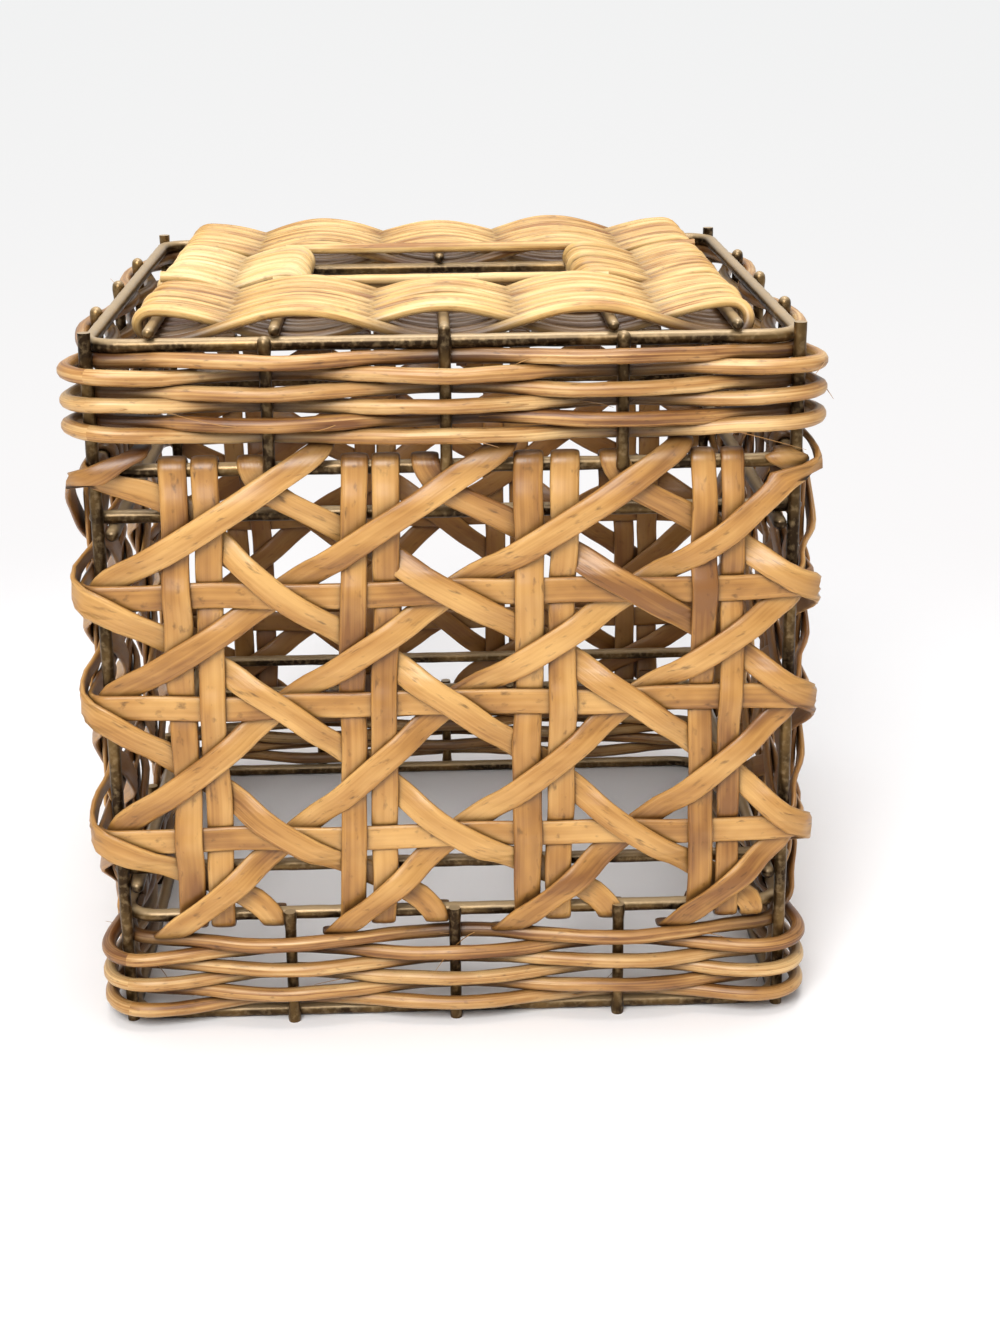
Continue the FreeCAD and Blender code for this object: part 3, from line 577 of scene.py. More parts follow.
def wire_material():
    """Old bronze-lacquered steel wire: dark lacquer, worn through to dull gold in patches.

    The lacquer gives soft glints along the wire. Its upper side is painted paler and less metallic: painted
    light from above, with dust resting there.
    """
    shades = colours()
    material, tree, surface = new_material("antique_wire")
    place = add_node(tree, "ShaderNodeTexCoord").outputs["Object"]
    patches = add_node(tree, "ShaderNodeTexNoise", {
        "Vector": place, "Scale": 1 / (13 * MM), "Detail": 6.0}).outputs["Fac"]
    grit = add_node(tree, "ShaderNodeTexNoise", {
        "Vector": place, "Scale": 1 / (1.1 * MM), "Detail": 3.0}).outputs["Fac"]
    worn = add_node(tree, "ShaderNodeMapRange", {
        "Value": patches, "From Min": 0.43, "From Max": 0.72}).outputs["Result"]
    specks = add_node(tree, "ShaderNodeMapRange", {
        "Value": grit, "From Min": 0.48, "From Max": 0.75, "To Max": 0.35}).outputs["Result"]
    facing = add_node(tree, "ShaderNodeNewGeometry").outputs["Normal"]
    upward = add_node(tree, "ShaderNodeSeparateXYZ", {"Vector": facing}).outputs["Z"]
    # painted light: the upper side is painted paler towards the dust colour, standing in for light from
    # above, with dust resting there
    top_light_and_dust = add_node(tree, "ShaderNodeMapRange", {
        "Value": upward, "From Min": 0.25, "From Max": 0.90, "To Max": 0.8}).outputs["Result"]
    colour = shades.wire_lacquer
    for share, over in ((worn, shades.wire_worn), (specks, shades.wire_dust), (top_light_and_dust, shades.wire_dust)):
        colour = add_node(tree, "ShaderNodeMix", {0: share, 6: colour, 7: over},
                          data_type="RGBA").outputs[2]
    tree.links.new(colour, surface.inputs["Base Color"])
    bare = add_node(tree, "ShaderNodeMapRange", {"Value": top_light_and_dust, "To Min": 0.85, "To Max": 0.0})
    tree.links.new(bare.outputs["Result"], surface.inputs["Metallic"])
    rough = add_node(tree, "ShaderNodeMapRange", {"Value": grit, "To Min": 0.26, "To Max": 0.5})
    tree.links.new(rough.outputs["Result"], surface.inputs["Roughness"])
    bump = add_node(tree, "ShaderNodeBump", {"Height": grit, "Strength": 0.25, "Distance": 0.1 * MM})
    tree.links.new(bump.outputs["Normal"], surface.inputs["Normal"])
    return material


def look(name):
    """The shared materials, made once."""
    if name in bpy.data.materials:
        return bpy.data.materials[name]
    if name == "antique_wire":
        return wire_material()
    # whose shades, the streaks' share of the shade, the flecks' strength, how open a place is that
    # gets no painted shade in its crevices, and the roughness
    plants = {
        "stained_reed": ("band", 0.45, 0.65, 0.90, 0.40),
        "pale_reed": ("top", 0.45, 0.50, 1.00, 0.42),
        "honey_cane": ("cane", 0.24, 0.75, 0.90, 0.36),
    }
    kind, *finish = plants[name]
    shades = [getattr(colours(), kind + "_" + shade) for shade in ("pale", "middle", "deep", "shadow")]
    return plant_material(name, shades, *finish)


# Frame


def rounded_square(half, bend, height):
    """A hoop's path, corner by corner."""
    points = []
    for number, (x, y) in enumerate(CORNERS.values()):
        first = math.radians(180 + 90 * number)
        for turn in np.linspace(0, math.pi / 2, BEND_POINTS):
            points.append(((half - bend) * x + bend * math.cos(first + turn),
                           (half - bend) * y + bend * math.sin(first + turn), height))
    return resample(points, PATH_STEP, True)


def wire_piece(name, points, wire, closed=False, round_ends=True):
    """A drawn wire, not quite straight and not quite round."""
    rng = chance(name)
    run = runs_of(points, closed)[:len(points)]
    radius = wire / 2 * (1 + wander(rng, run, *WIRE_UNEVEN))
    rings = round_rings(points, radius, closed, round_ends=round_ends and not closed)
    return roll(name, rings, closed, rng.uniform(0, 1))


def finish_wire(piece, node):
    """All wires share one material."""
    finish_piece(piece, node, look("antique_wire"))


def straight(start, end, step=PATH_STEP):
    return resample(np.array([start, end], float), step, False)


class MESH_OT_woven_cover_hoops(bpy.types.Operator):
    """Bends the four wire hoops of the frame"""

    bl_idname = "mesh.woven_cover_hoops"
    bl_label = "Hoops"

    def execute(self, context):
        size = sizes()
        heights = {
            "bottom_rim": size.rail_wire / 2, "lower_rail": size.lower_rail,
            "upper_rail": size.upper_rail, "top_rim": size.top_rim,
        }
        for node, height in heights.items():
            path = rounded_square(size.half_width, size.rail_bend, height)
            piece = wire_piece(node + "_wire", path, size.rail_wire, True)
            finish_wire(piece, node)
        return {"FINISHED"}


class MESH_OT_woven_cover_posts(bpy.types.Operator):
    """Stands the four corner posts outside the hoops"""

    bl_idname = "mesh.woven_cover_posts"
    bl_label = "Corner posts"

    def execute(self, context):
        size = sizes()
        for corner, (x, y) in CORNERS.items():
            foot = (x * size.post_place, y * size.post_place, 0)
            head = (x * size.post_place, y * size.post_place, size.post_height)
            piece = wire_piece("post_" + corner, straight(foot, head), size.post_wire, round_ends=False)
            finish_wire(piece, "corner_post_" + corner)
        return {"FINISHED"}


def on_side(along, out, height, side):
    """A place on a side, from a place on the front."""
    x, y = along, -out
    for _ in range(side):
        x, y = -y, x
    return x, y, height


class MESH_OT_woven_cover_stakes(bpy.types.Operator):
    """Sets the short stakes of both bands, with a weld bead at each hoop"""

    bl_idname = "mesh.woven_cover_stakes"
    bl_label = "Band stakes"

    def execute(self, context):
        size = sizes()
        for side, side_name in enumerate(SIDES):
            bands = {
                "lower_stakes_": (0.0, size.lower_rail + LOWER_STAKE_PAST,
                                  (size.rail_wire / 2, size.lower_rail)),
                "upper_stakes_": (size.upper_rail, size.top_rim + UPPER_STAKE_PAST,
                                  (size.upper_rail, size.top_rim)),
            }
            for band, (low, high, welds) in bands.items():
                stakes = []
                for number in (-1, 0, 1):
                    along = number * size.post_place / 2
                    end = high
                    if band == "upper_stakes_" and number == 0 and side % 2 == 0:
                        end = size.top_stake
                    points = straight(on_side(along, size.stake_out, low, side),
                                      on_side(along, size.stake_out, end, side), STAKE_STEP)
                    bead = sum(np.exp(-((points[:, 2] - weld) / BEAD_LENGTH) ** 2) for weld in welds)
                    radius = size.stake_wire / 2 * (1 + BEAD_SWELL * bead)
                    rings = round_rings(points, radius, False, round_ends=band == "upper_stakes_")
                    stakes.append(roll("stake", rings, False))
                node = band + side_name
                piece = join(node + "_wire", stakes)
                finish_wire(piece, node)
        return {"FINISHED"}


class MESH_OT_woven_cover_ties(bpy.types.Operator):
    """Lays the tie wires inside the posts"""

    bl_idname = "mesh.woven_cover_ties"
    bl_label = "Tie wires"

    def execute(self, context):
        size = sizes()
        reach = size.post_place + size.post_wire / 2 - TIE_SHORT
        for level, height in (("lower", size.lower_tie), ("upper", size.upper_tie)):
            groups = {"front_back": (0, 2), "left_right": (1, 3)}
            for name, on_sides in groups.items():
                drop = 0.0 if name == "front_back" else size.tie_wire + WIRE_GAP
                ties = []
                for side in on_sides:
                    points = straight(on_side(-reach, size.tie_out, height - drop, side),
                                      on_side(reach, size.tie_out, height - drop, side))
                    ties.append(wire_piece("tie_%s_%d" % (level, side), points, size.tie_wire))
                node = "%s_tie_wires_%s" % (level, name)
                finish_wire(join(node + "_wire", ties), node)
        return {"FINISHED"}


class MESH_OT_woven_cover_top_wires(bpy.types.Operator):
    """Lays the top stakes over the rim and the two slot wires under them"""

    bl_idname = "mesh.woven_cover_top_wires"
    bl_label = "Top wires"

    def execute(self, context):
        size = sizes()
        short = size.half_width + INNER_STAKE_PAST
        long = size.half_width + END_STAKE_PAST
        slot_end = size.slot_wire - size.stake_wire / 2
        wires = {
            "top_stake_left_end": (-size.end_stake, -long, long),
            "top_stake_left": (-size.inner_stake, -short, short),
            "top_stake_middle_front": (0.0, -short, -slot_end),
            "top_stake_middle_back": (0.0, slot_end, short),
            "top_stake_right": (size.inner_stake, -short, short),
            "top_stake_right_end": (size.end_stake, -long, long),
        }
        for node, (x, front, back) in wires.items():
            points = straight((x, front, size.top_stake), (x, back, size.top_stake))
            finish_wire(wire_piece(node + "_wire", points, size.stake_wire), node)
        height = size.top_stake - size.stake_wire - WIRE_GAP
        reach = size.inner_stake + size.stake_wire / 2
        for node, y in (("slot_wire_front", -size.slot_wire), ("slot_wire_back", size.slot_wire)):
            points = straight((-reach, y, height), (reach, y, height))
            finish_wire(wire_piece(node + "_wire", points, size.stake_wire), node)
        return {"FINISHED"}


# Reed


def reed_radius(rng, run, diameter):
    """A split reed's radius: a slow swell and a few flats."""
    return diameter / 2 * (1 + wander(rng, run, *REED_SWELL) + wander(rng, run, *REED_FLATS))


def frayed(rng, path, radius):
    """A few split fibres that stand off a reed."""
    hairs = []
    ahead = directions(path, True)
    for start in rng.integers(0, len(path), FIBRES_PER_ROW):
        out = np.array((path[start, 0], path[start, 1], 0)) / np.linalg.norm(path[start, :2])
        way = ahead[start] * rng.choice((-1, 1)) + out * rng.uniform(*FIBRE_OFF)
        way[2] += rng.uniform(*FIBRE_CLIMB)
        droop = rng.normal(0, FIBRE_DROOP, 3)
        run = np.linspace(0, rng.uniform(*FIBRE_LENGTHS), FIBRE_RINGS)[:, None]
        points = path[start] + out * radius * FIBRE_ROOT + (way * run + droop * run ** 2) * MM
        radii = np.linspace(*FIBRE_RADII, FIBRE_RINGS) * MM
        hairs.append(roll("fibre", round_rings(points, radii, False, FIBRE_POINTS), False, FIBRE_TONE))
    return hairs


class MESH_OT_woven_cover_bands(bpy.types.Operator):
    """Weaves the rows of both bands in and out of posts and stakes"""

    bl_idname = "mesh.woven_cover_bands"
    bl_label = "Band reeds"

    def execute(self, context):
        size, cover = sizes(), weave()
        spacing = size.post_place / 2
        for band, first, pitch in (("lower", cover.lower_first, cover.lower_pitch),
                                   ("upper", cover.upper_first, cover.upper_pitch)):
            for number in range(BAND_ROWS):
                node = "%s_band_reed_%d" % (band, number + 1)
                rng = chance(node)
                sign = 1 if number % 2 == 0 else -1
                points = []
                for side in range(len(SIDES)):
                    for along in np.linspace(-size.post_place, size.post_place, SIDE_POINTS)[:-1]:
                        swing = sign * cover.band_swing * math.cos(math.pi * along / spacing)
                        points.append(on_side(along, size.stake_out + swing, first + number * pitch, side))
                path = resample(points, BAND_STEP, True)
                path = eased_path(eased_path(path, BAND_EASE, True), BAND_EASE, True)
                run = runs_of(path, True)[:-1]
                path[:, 2] += wander(rng, run, *ROW_WANDER) + wander(rng, run, *ROW_RIPPLE)
                if band == "upper" and sign > 0:
                    # the upper band is pushed up at the corners, the more so the lower the row
                    off = size.stake_out - np.minimum(np.abs(path[:, 0]), np.abs(path[:, 1]))
                    near = np.clip(1 - off / PUSH_REACH, 0, 1)
                    path[:, 2] += (PUSH_FIRST - PUSH_LESS * number) * near * near * (3 - 2 * near)
                rings = round_rings(path, reed_radius(rng, run, cover.band_reed), True)
                # inside the stakes the reed is out of the light, and is painted darker there as painted
                # shade
                out = np.maximum(np.abs(path[:, 0]), np.abs(path[:, 1])) - size.stake_out
                stain = np.clip(-out / cover.band_swing, 0, 1) * BAND_PAINTED_SHADE
                row = roll(node + "_weave", rings, True, rng.uniform(0, 1), stain)
                piece = join(node + "_weave", [row] + frayed(rng, path, cover.band_reed / 2))
                finish_piece(piece, node, look("stained_reed"))
        return {"FINISHED"}


def top_rows(node, stakes, rows, first_over):
    """One reed to and fro over the stakes, turning round the end ones."""
    size, cover = sizes(), weave()
    rng = chance(node)
    points = []
    for count, y in enumerate(rows):
        heading = -1 if count % 2 else 1
        passes = [(x, 1 if (number + count + first_over) % 2 == 0 else -1)
                  for number, x in enumerate(stakes)][::heading]
        crest = cover.top_swing * (1 + rng.uniform(*ROW_CREST))
        lean = rng.uniform(-ROW_LEAN, ROW_LEAN)
        if points:
            # half a turn round the end stake
            before = points[-1]
            start = np.array((passes[0][0], y, size.top_stake + passes[0][1] * crest))
            middle = (before + start) / 2
            arm = before - middle
            out = np.array((-heading, 0, 0)) * np.linalg.norm(arm)
            for turn in np.linspace(0, math.pi, TURN_POINTS)[1:-1]:
                points.append(middle + arm * math.cos(turn) + out * math.sin(turn))
        for (ax, a_sign), (bx, b_sign) in zip(passes, passes[1:]):
            for share in np.linspace(0, 1, WAVE_POINTS)[:-1]:
                wave = a_sign + (b_sign - a_sign) * (1 - math.cos(math.pi * share)) / 2
                points.append(np.array((ax + (bx - ax) * share, y + lean * math.sin(math.pi * share),
                                        size.top_stake + wave * crest)))
        points.append(np.array((passes[-1][0], y, size.top_stake + passes[-1][1] * crest)))
    ahead = points[-1] - points[-2]
    points.append(points[-1] + ahead / np.linalg.norm(ahead) * ROW_TAIL)
    back = points[0] - points[1]
    points.insert(0, points[0] + back / np.linalg.norm(back) * ROW_TAIL)
    path = eased_path(resample(points, TOP_STEP, False), TOP_EASE, False)
    run = runs_of(path, False)
    rings = round_rings(path, reed_radius(rng, run, cover.top_reed), False)
    # painted shade: a row is painted darker the lower it dips under the stakes, starting a little below its
    # crests
    under = (size.top_stake - path[:, 2]) / cover.top_swing
    stain = np.clip(under + TOP_PAINTED_SHADE_START, 0, 1) * TOP_PAINTED_SHADE
    return roll(node + "_weave", rings, False, rng.uniform(0, 1), stain)


def slot_reed(name, reach, y, height, tone=None):
    """A straight reed along an edge of the slot."""
    points = straight((-reach, y, height), (reach, y, height))
    rng = chance(name)
    rings = round_rings(points, reed_radius(rng, runs_of(points, False), weave().top_reed), False)
    return roll(name + "_weave", rings, False, rng.uniform(0, 1) if tone is None else tone)


class MESH_OT_woven_cover_top(bpy.types.Operator):
    """Weaves the top in front of, beside and behind the slot"""

    bl_idname = "mesh.woven_cover_top"
    bl_label = "Top reeds"

    def execute(self, context):
        size, cover = sizes(), weave()
        back = np.linspace(cover.whole_start, cover.whole_end, WHOLE_ROWS)
        short = np.linspace(-cover.short_reach, cover.short_reach, SHORT_ROWS)
        # a stiff reed crests past an inner stake, half way between the stakes beside it
        crest = size.end_stake / 2
        stakes = [-size.end_stake, -crest, 0, crest, size.end_stake]
        ends = [-size.end_stake, -size.inner_stake, size.inner_stake, size.end_stake]
        groups = {
            "top_reed_front": (stakes, -back[::-1], 1),
            "top_reed_left_of_slot": (ends[:2], short, 0),
            "top_reed_right_of_slot": (ends[-2:], short, 1),
            "top_reed_back": (stakes, back, 1),
        }
        for node, (posts, rows, first_over) in groups.items():
            piece = top_rows(node, posts, rows, first_over)
            finish_piece(piece, node, look("pale_reed"))
        y = -size.slot_wire + size.stake_wire / 2 + cover.top_reed / 2 + EDGE_GAP
        height = size.top_stake - size.stake_wire - WIRE_GAP
        piece = slot_reed("slot_edge_reed", EDGE_REACH, y, height, EDGE_TONE)
        finish_piece(piece, "slot_edge_reed", look("pale_reed"))
        # a thin straight reed lies over the stakes along each edge of the slot
        over = size.top_stake + size.stake_wire / 2 + cover.top_reed / 2
        for name, y in (("slot_trim_front", -size.slot_wire), ("slot_trim_back", size.slot_wire)):
            piece = slot_reed(name, cover.trim_reach, y, over)
            finish_piece(piece, None, look("pale_reed"))
        return {"FINISHED"}


# Cane lattice


def smooth(share):
    share = min(max(share, 0), 1)
    return share * share * (3 - 2 * share)


class Lattice:
    """The surface that the canes lie on, opened out flat.

    along runs round the cover from the front left corner, rise runs up from the lower rail and
    on round the upper rail, and lift is towards the eye.
    """

    def __init__(self):
        size, cover = sizes(), weave()
        self.post = size.post_place
        self.rail = size.half_width
        self.low = size.lower_rail
        self.high = size.upper_rail
        self.height = self.high - self.low
        self.thick = cover.cane_thickness
        self.step = CANE_STEP
        self.fold = size.rail_wire / 2 + RAIL_GAP + self.thick / 2
        round_post = self.post + size.post_wire / 2 + POST_GAP + self.thick / 2 + self.step
        self.bulge = round_post - self.rail - self.fold
        self.cell = self.post * 2 / CELLS
        self.bend = self.rail + self.fold + self.bulge - self.post
        self.half_arc = self.bend * math.pi / 4
        self.side = 2 * self.post + 2 * self.half_arc
        self.girdles = [share * self.height for share in GIRDLE_SHARES]
        halves = np.arange(1, 2 * CELLS) / 2
        self.cells = np.concatenate([[0], halves, [CELLS]])
        self.places = np.concatenate([[0], self.half_arc + self.cell * halves, [self.side]])

    def at_cell(self, cell):
        side, rest = divmod(cell, CELLS)
        return side * self.side + np.interp(rest, self.cells, self.places)

    def cell_at(self, along):
        side, rest = divmod(along, self.side)
        return side * CELLS + np.interp(rest, self.places, self.cells)

    def point(self, along, rise, lift):
        """The place in space of a point on the opened-out surface."""
        side, rest = divmod(along, self.side)
        side = int(side) % len(SIDES)
        turn = 0.0
        x = rest - self.half_arc - self.post
        if side == 0 and abs(x) < self.post:
            x += np.interp(x, *DRIFT)
        if rest < self.half_arc:
            turn = (rest - self.half_arc) / self.bend
            x = -self.post
        elif rest > self.side - self.half_arc:
            turn = (rest - self.side + self.half_arc) / self.bend
            x = self.post
        radius = self.fold + lift
        beyond = max(-rise, rise - self.height)
        if beyond <= 0:
            out = self.rail + radius + self.bulge * smooth(-beyond / CROSSING)
            level = self.low + rise
        else:
            turned = min(beyond / self.fold, math.pi)
            out = self.rail + radius * math.cos(turned)
            above = radius * math.sin(turned) - max(beyond - math.pi * self.fold, 0)
            level = self.high + above if rise > 0 else self.low - above
        reach = out - self.post
        across, away = x + reach * math.sin(turn), self.post + reach * math.cos(turn)
        return on_side(across, away, level, side)

    def stations(self, low, high):
        """Rises at which a cane is measured: closer together on the folds."""
        ends = sorted({min(max(end, low), high) for end in (low, 0.0, self.height, high)})
        rises = [np.array([low])]
        for start, end in zip(ends, ends[1:]):
            step = LATTICE_STEP if 0 <= start < self.height else FOLD_STEP
            count = max(math.ceil((end - start) / step), 1)
            rises.append(start + (end - start) * np.arange(1, count + 1) / count)
        return np.concatenate(rises)


def cane_section():
    """A flat cane's section: nearly square edges, a crowned skin and a flatter back."""
    turns = np.linspace(0, 2 * math.pi, CANE_POINTS, endpoint=False)
    across = np.sign(np.cos(turns)) * np.abs(np.cos(turns)) ** EDGE_POWER
    up = np.sign(np.sin(turns)) * np.abs(np.sin(turns)) ** FACE_POWER
    return across, up


def cane_skin(up):
    """1 on the glossy skin, less on the cut edges and none on the back."""
    return np.clip(up * SKIN_FADE + SKIN_EDGE, 0, 1)


def cane(name, lattice, track, lift, low, high, width, tone, taper=0.0):
    """One flat cane along a track on the lattice; taper is the share of its width lost at its head."""
    across, up = cane_section()
    rng = chance(name)
    rises = lattice.stations(low, high)
    sway = wander(rng, rises, *CANE_SWAY)
    spread = 1 + wander(rng, rises, *CANE_SPREAD)
    spread *= 1 - taper * np.clip((rises - lattice.height + TAPER_BEFORE) / TAPER_LENGTH, 0, 1)
    # the cut tails narrow to a torn end
    beyond = np.maximum(-rises, rises - lattice.height)
    torn = np.clip((beyond - math.pi * lattice.fold) / TORN_LENGTH, 0, 1)
    spread *= 1 - rng.uniform(*TORN_AWAY) * torn
    sway += rng.uniform(-TORN_SWAY, TORN_SWAY) * torn
    rings = np.zeros((len(rises), len(across), 3))
    nudge = 0.3 * MM
    for number, rise in enumerate(rises):
        middle = track(rise) + sway[number]
        height = lift(middle, rise)
        above, below = (lattice.point(middle, rise + side, height) for side in (nudge, -nudge))
        slope = (track(rise + nudge) - track(rise - nudge)) / math.dist(above, below)
        half = width / 2 * spread[number] * math.sqrt(1 + slope ** 2)
        for place, (side, top) in enumerate(zip(across, up)):
            along = middle + side * half
            rings[number, place] = lattice.point(along, rise, lift(along, rise) + top * lattice.thick / 2)
    # painted shade: the cane is painted darker from just before a rail on round the fold, where it goes
    # under the band
    stain = np.clip((beyond + PAINTED_SHADE_BEFORE) / PAINTED_SHADE_LENGTH, 0, 1) * FOLD_PAINTED_SHADE
    return roll(name, rings, False, tone, stain, cane_skin(up))


class MESH_OT_woven_cover_girdles(bpy.types.Operator):
    """Runs the three level canes round all four sides"""

    bl_idname = "mesh.woven_cover_girdles"
    bl_label = "Girdle canes"

    def execute(self, context):
        lattice = Lattice()
        across, up = cane_section()
        width = weave().cane_width
        for number, rise in enumerate(lattice.girdles, start=1):
            node = "girdle_cane_%d" % number
            rng = chance(node)
            places = np.linspace(0, len(SIDES) * lattice.side, GIRDLE_POINTS, endpoint=False)
            sway = wander(rng, places, *GIRDLE_SWAY)
            rings = np.zeros((len(places), len(across), 3))
            for index, along in enumerate(places):
                for place, (side, top) in enumerate(zip(across, up)):
                    level = rise + sway[index] + side * width / 2
                    rings[index, place] = lattice.point(along, level, top * lattice.thick / 2)
            piece = roll(node + "_weave", rings, True, rng.uniform(0, 1), None, cane_skin(up))
            finish_piece(piece, node, look("honey_cane"))
        return {"FINISHED"}


class MESH_OT_woven_cover_uprights(bpy.types.Operator):
    """Weaves the pairs of uprights over and under the girdles"""

    bl_idname = "mesh.woven_cover_uprights"
    bl_label = "Upright canes"

    def execute(self, context):
        lattice = Lattice()
        cover = weave()
        fold = math.pi * lattice.fold

        def lift_of(sign):
            def lift(along, rise):
                total = 0.0
                for number, girdle in enumerate(lattice.girdles):
                    off = min(abs(rise - girdle) / CROSSING, 1)
                    crest = math.cos(off * math.pi / 2) ** CROSSING_POWER
                    total += sign * (-1) ** number * lattice.step * crest
                return total
            return lift

        for side, side_name in enumerate(SIDES):
            node = "upright_canes_" + side_name
            start = side * lattice.side + lattice.half_arc
            canes = []
            for cell in range(CELLS):
                for sign in (1, -1):
                    name = "%s_%d_%d" % (node, cell, sign)
                    rng = chance(name)
                    middle = start + (cell + 0.5) * lattice.cell - sign * cover.pair_spacing / 2
                    top, foot = rng.uniform(-UPRIGHT_OFF, UPRIGHT_OFF, 2)
                    if side == 0:
                        top += LEANS[cell] / 2
                        foot -= LEANS[cell] / 2

                    def track(rise, middle=middle, top=top, foot=foot):
                        return middle + foot + (top - foot) * rise / lattice.height

                    low, high = fold + rng.uniform(*UPRIGHT_TAILS, 2)
                    canes.append(cane(name, lattice, track, lift_of(sign), -low, lattice.height + high,
                                      cover.cane_width, rng.uniform(0, 1)))
            finish_piece(join(node + "_weave", canes), node, look("honey_cane"))
        return {"FINISHED"}


def diagonal(name, lattice, node, rising, tone):
    """One diagonal cane, one cell along for each girdle that it passes."""
    way = 1 if rising else -1
    count = len(lattice.girdles)
    last = count - 1
    kind = RISING if rising else FALLING
    past, foot, window = kind["past"], kind["foot"], BEND_WINDOW
    at_corner = (node + way * count) % CELLS == 0
    if at_corner:
        past = CORNER_PAST + lattice.half_arc
        window = CORNER_WINDOW
    if not rising and (node + 1) % CELLS == 0:
        foot = CORNER_FOOT
    tails = np.full(2, RISING_TUCK * lattice.fold)
    if not rising:
        tails = math.pi * lattice.fold + chance(name, "tails").uniform(*FALLING_TAILS, 2) * TAIL_SHARES
    inset = 0.0 if rising else window / 2
    levels = [inset] + lattice.girdles + [lattice.height - inset]
    places = [lattice.at_cell(node - way * foot)]
    places += [lattice.at_cell(node + way * number) for number in range(count)]
    corner = lattice.at_cell(node + way * count)
    if at_corner:
        # near a corner the cane climbs sooner and goes round it just under the band
        levels[-1:] = [lattice.height - drop for drop in kind["drops"]]
        places += [corner - way * (lattice.half_arc + CORNER_NEAR), corner - way * lattice.half_arc]
    places += [corner + way * past]
    offsets = np.linspace(-window, window, WINDOW_POINTS)

    def climbed(beyond, lifted):
        """How much higher a cane gets by going on round the rail."""
        return (lattice.fold + lifted) * np.sin(np.clip(beyond / lattice.fold, 0, math.pi / 2))

    first_slope = last_slope = 0.0
    if rising:
        first_slope = (places[1] - places[0]) / (levels[1] - levels[0])
        last_slope = min((places[-1] - places[-2]) / (levels[-1] - levels[-2]), STEEPEST)

    def line(rise):
        """The straight runs from girdle to girdle, carried on past the ends of a rising cane."""
        reading = np.interp(rise, levels, places)
        reading += np.minimum(rise - levels[0], 0) * first_slope
        return reading + np.maximum(rise - levels[-1], 0) * last_slope

    def track(rise):
        under, over = levels[0] - rise, rise - levels[-1]
        eased = line(rise + offsets).mean()
        eased -= (climbed(under, lattice.step) - max(under, 0)) * first_slope
        return eased + (climbed(over, OVER_STAKE) - max(over, 0)) * last_slope

    def cells_to(along):
        return way * (lattice.cell_at(along) - node)

    head = cells_to(track(lattice.height)) - last
    taper = CORNER_TAPER if rising and at_corner else 0.0

    def lift(along, rise):
        level = min(max(rise, 0.0), lattice.height)
        passed = cells_to(track(level))
        across = cells_to(along) if level == rise else passed
        wave = sum(math.cos(2 * math.pi * min(max(cell, -HALF_CELL), last + HALF_CELL))
                   for cell in (across, passed))
        wave = math.tanh(WAVE_FLAT * wave) / math.tanh(2 * WAVE_FLAT)
        end, full = (-passed, foot) if passed < 0 else (passed - last, head)
        depth = lattice.step * (1 + END_DEEPER * smooth(end / HALF_CELL))
        if rising:
            goal = OVER_STAKE if passed > 0 else depth
            return (goal - depth) * smooth((end - HALF_CELL) / (full - HALF_CELL)) - depth * wave
        return depth * smooth((end - FALLING_END) / (full - FALLING_END)) + depth * wave

    high = lattice.height + tails[1]
    return cane(name, lattice, track, lift, -tails[0], high, weave().cane_width, tone, taper)


class MESH_OT_woven_cover_diagonals(bpy.types.Operator):
    """Weaves the rising and falling diagonals through the lattice"""

    bl_idname = "mesh.woven_cover_diagonals"
    bl_label = "Diagonal canes"

    def execute(self, context):
        lattice = Lattice()
        for side, side_name in enumerate(SIDES):
            for kind, rising in (("rising", True), ("falling", False)):
                node = "%s_canes_%s" % (kind, side_name)
                canes = []
                for start in range(side * CELLS, (side + 1) * CELLS):
                    name = "%s_%d" % (node, start)
                    canes.append(diagonal(name, lattice, start, rising, chance(name).uniform(0, 1)))
                finish_piece(join(node + "_weave", canes), node, look("honey_cane"))
        return {"FINISHED"}


# Stage


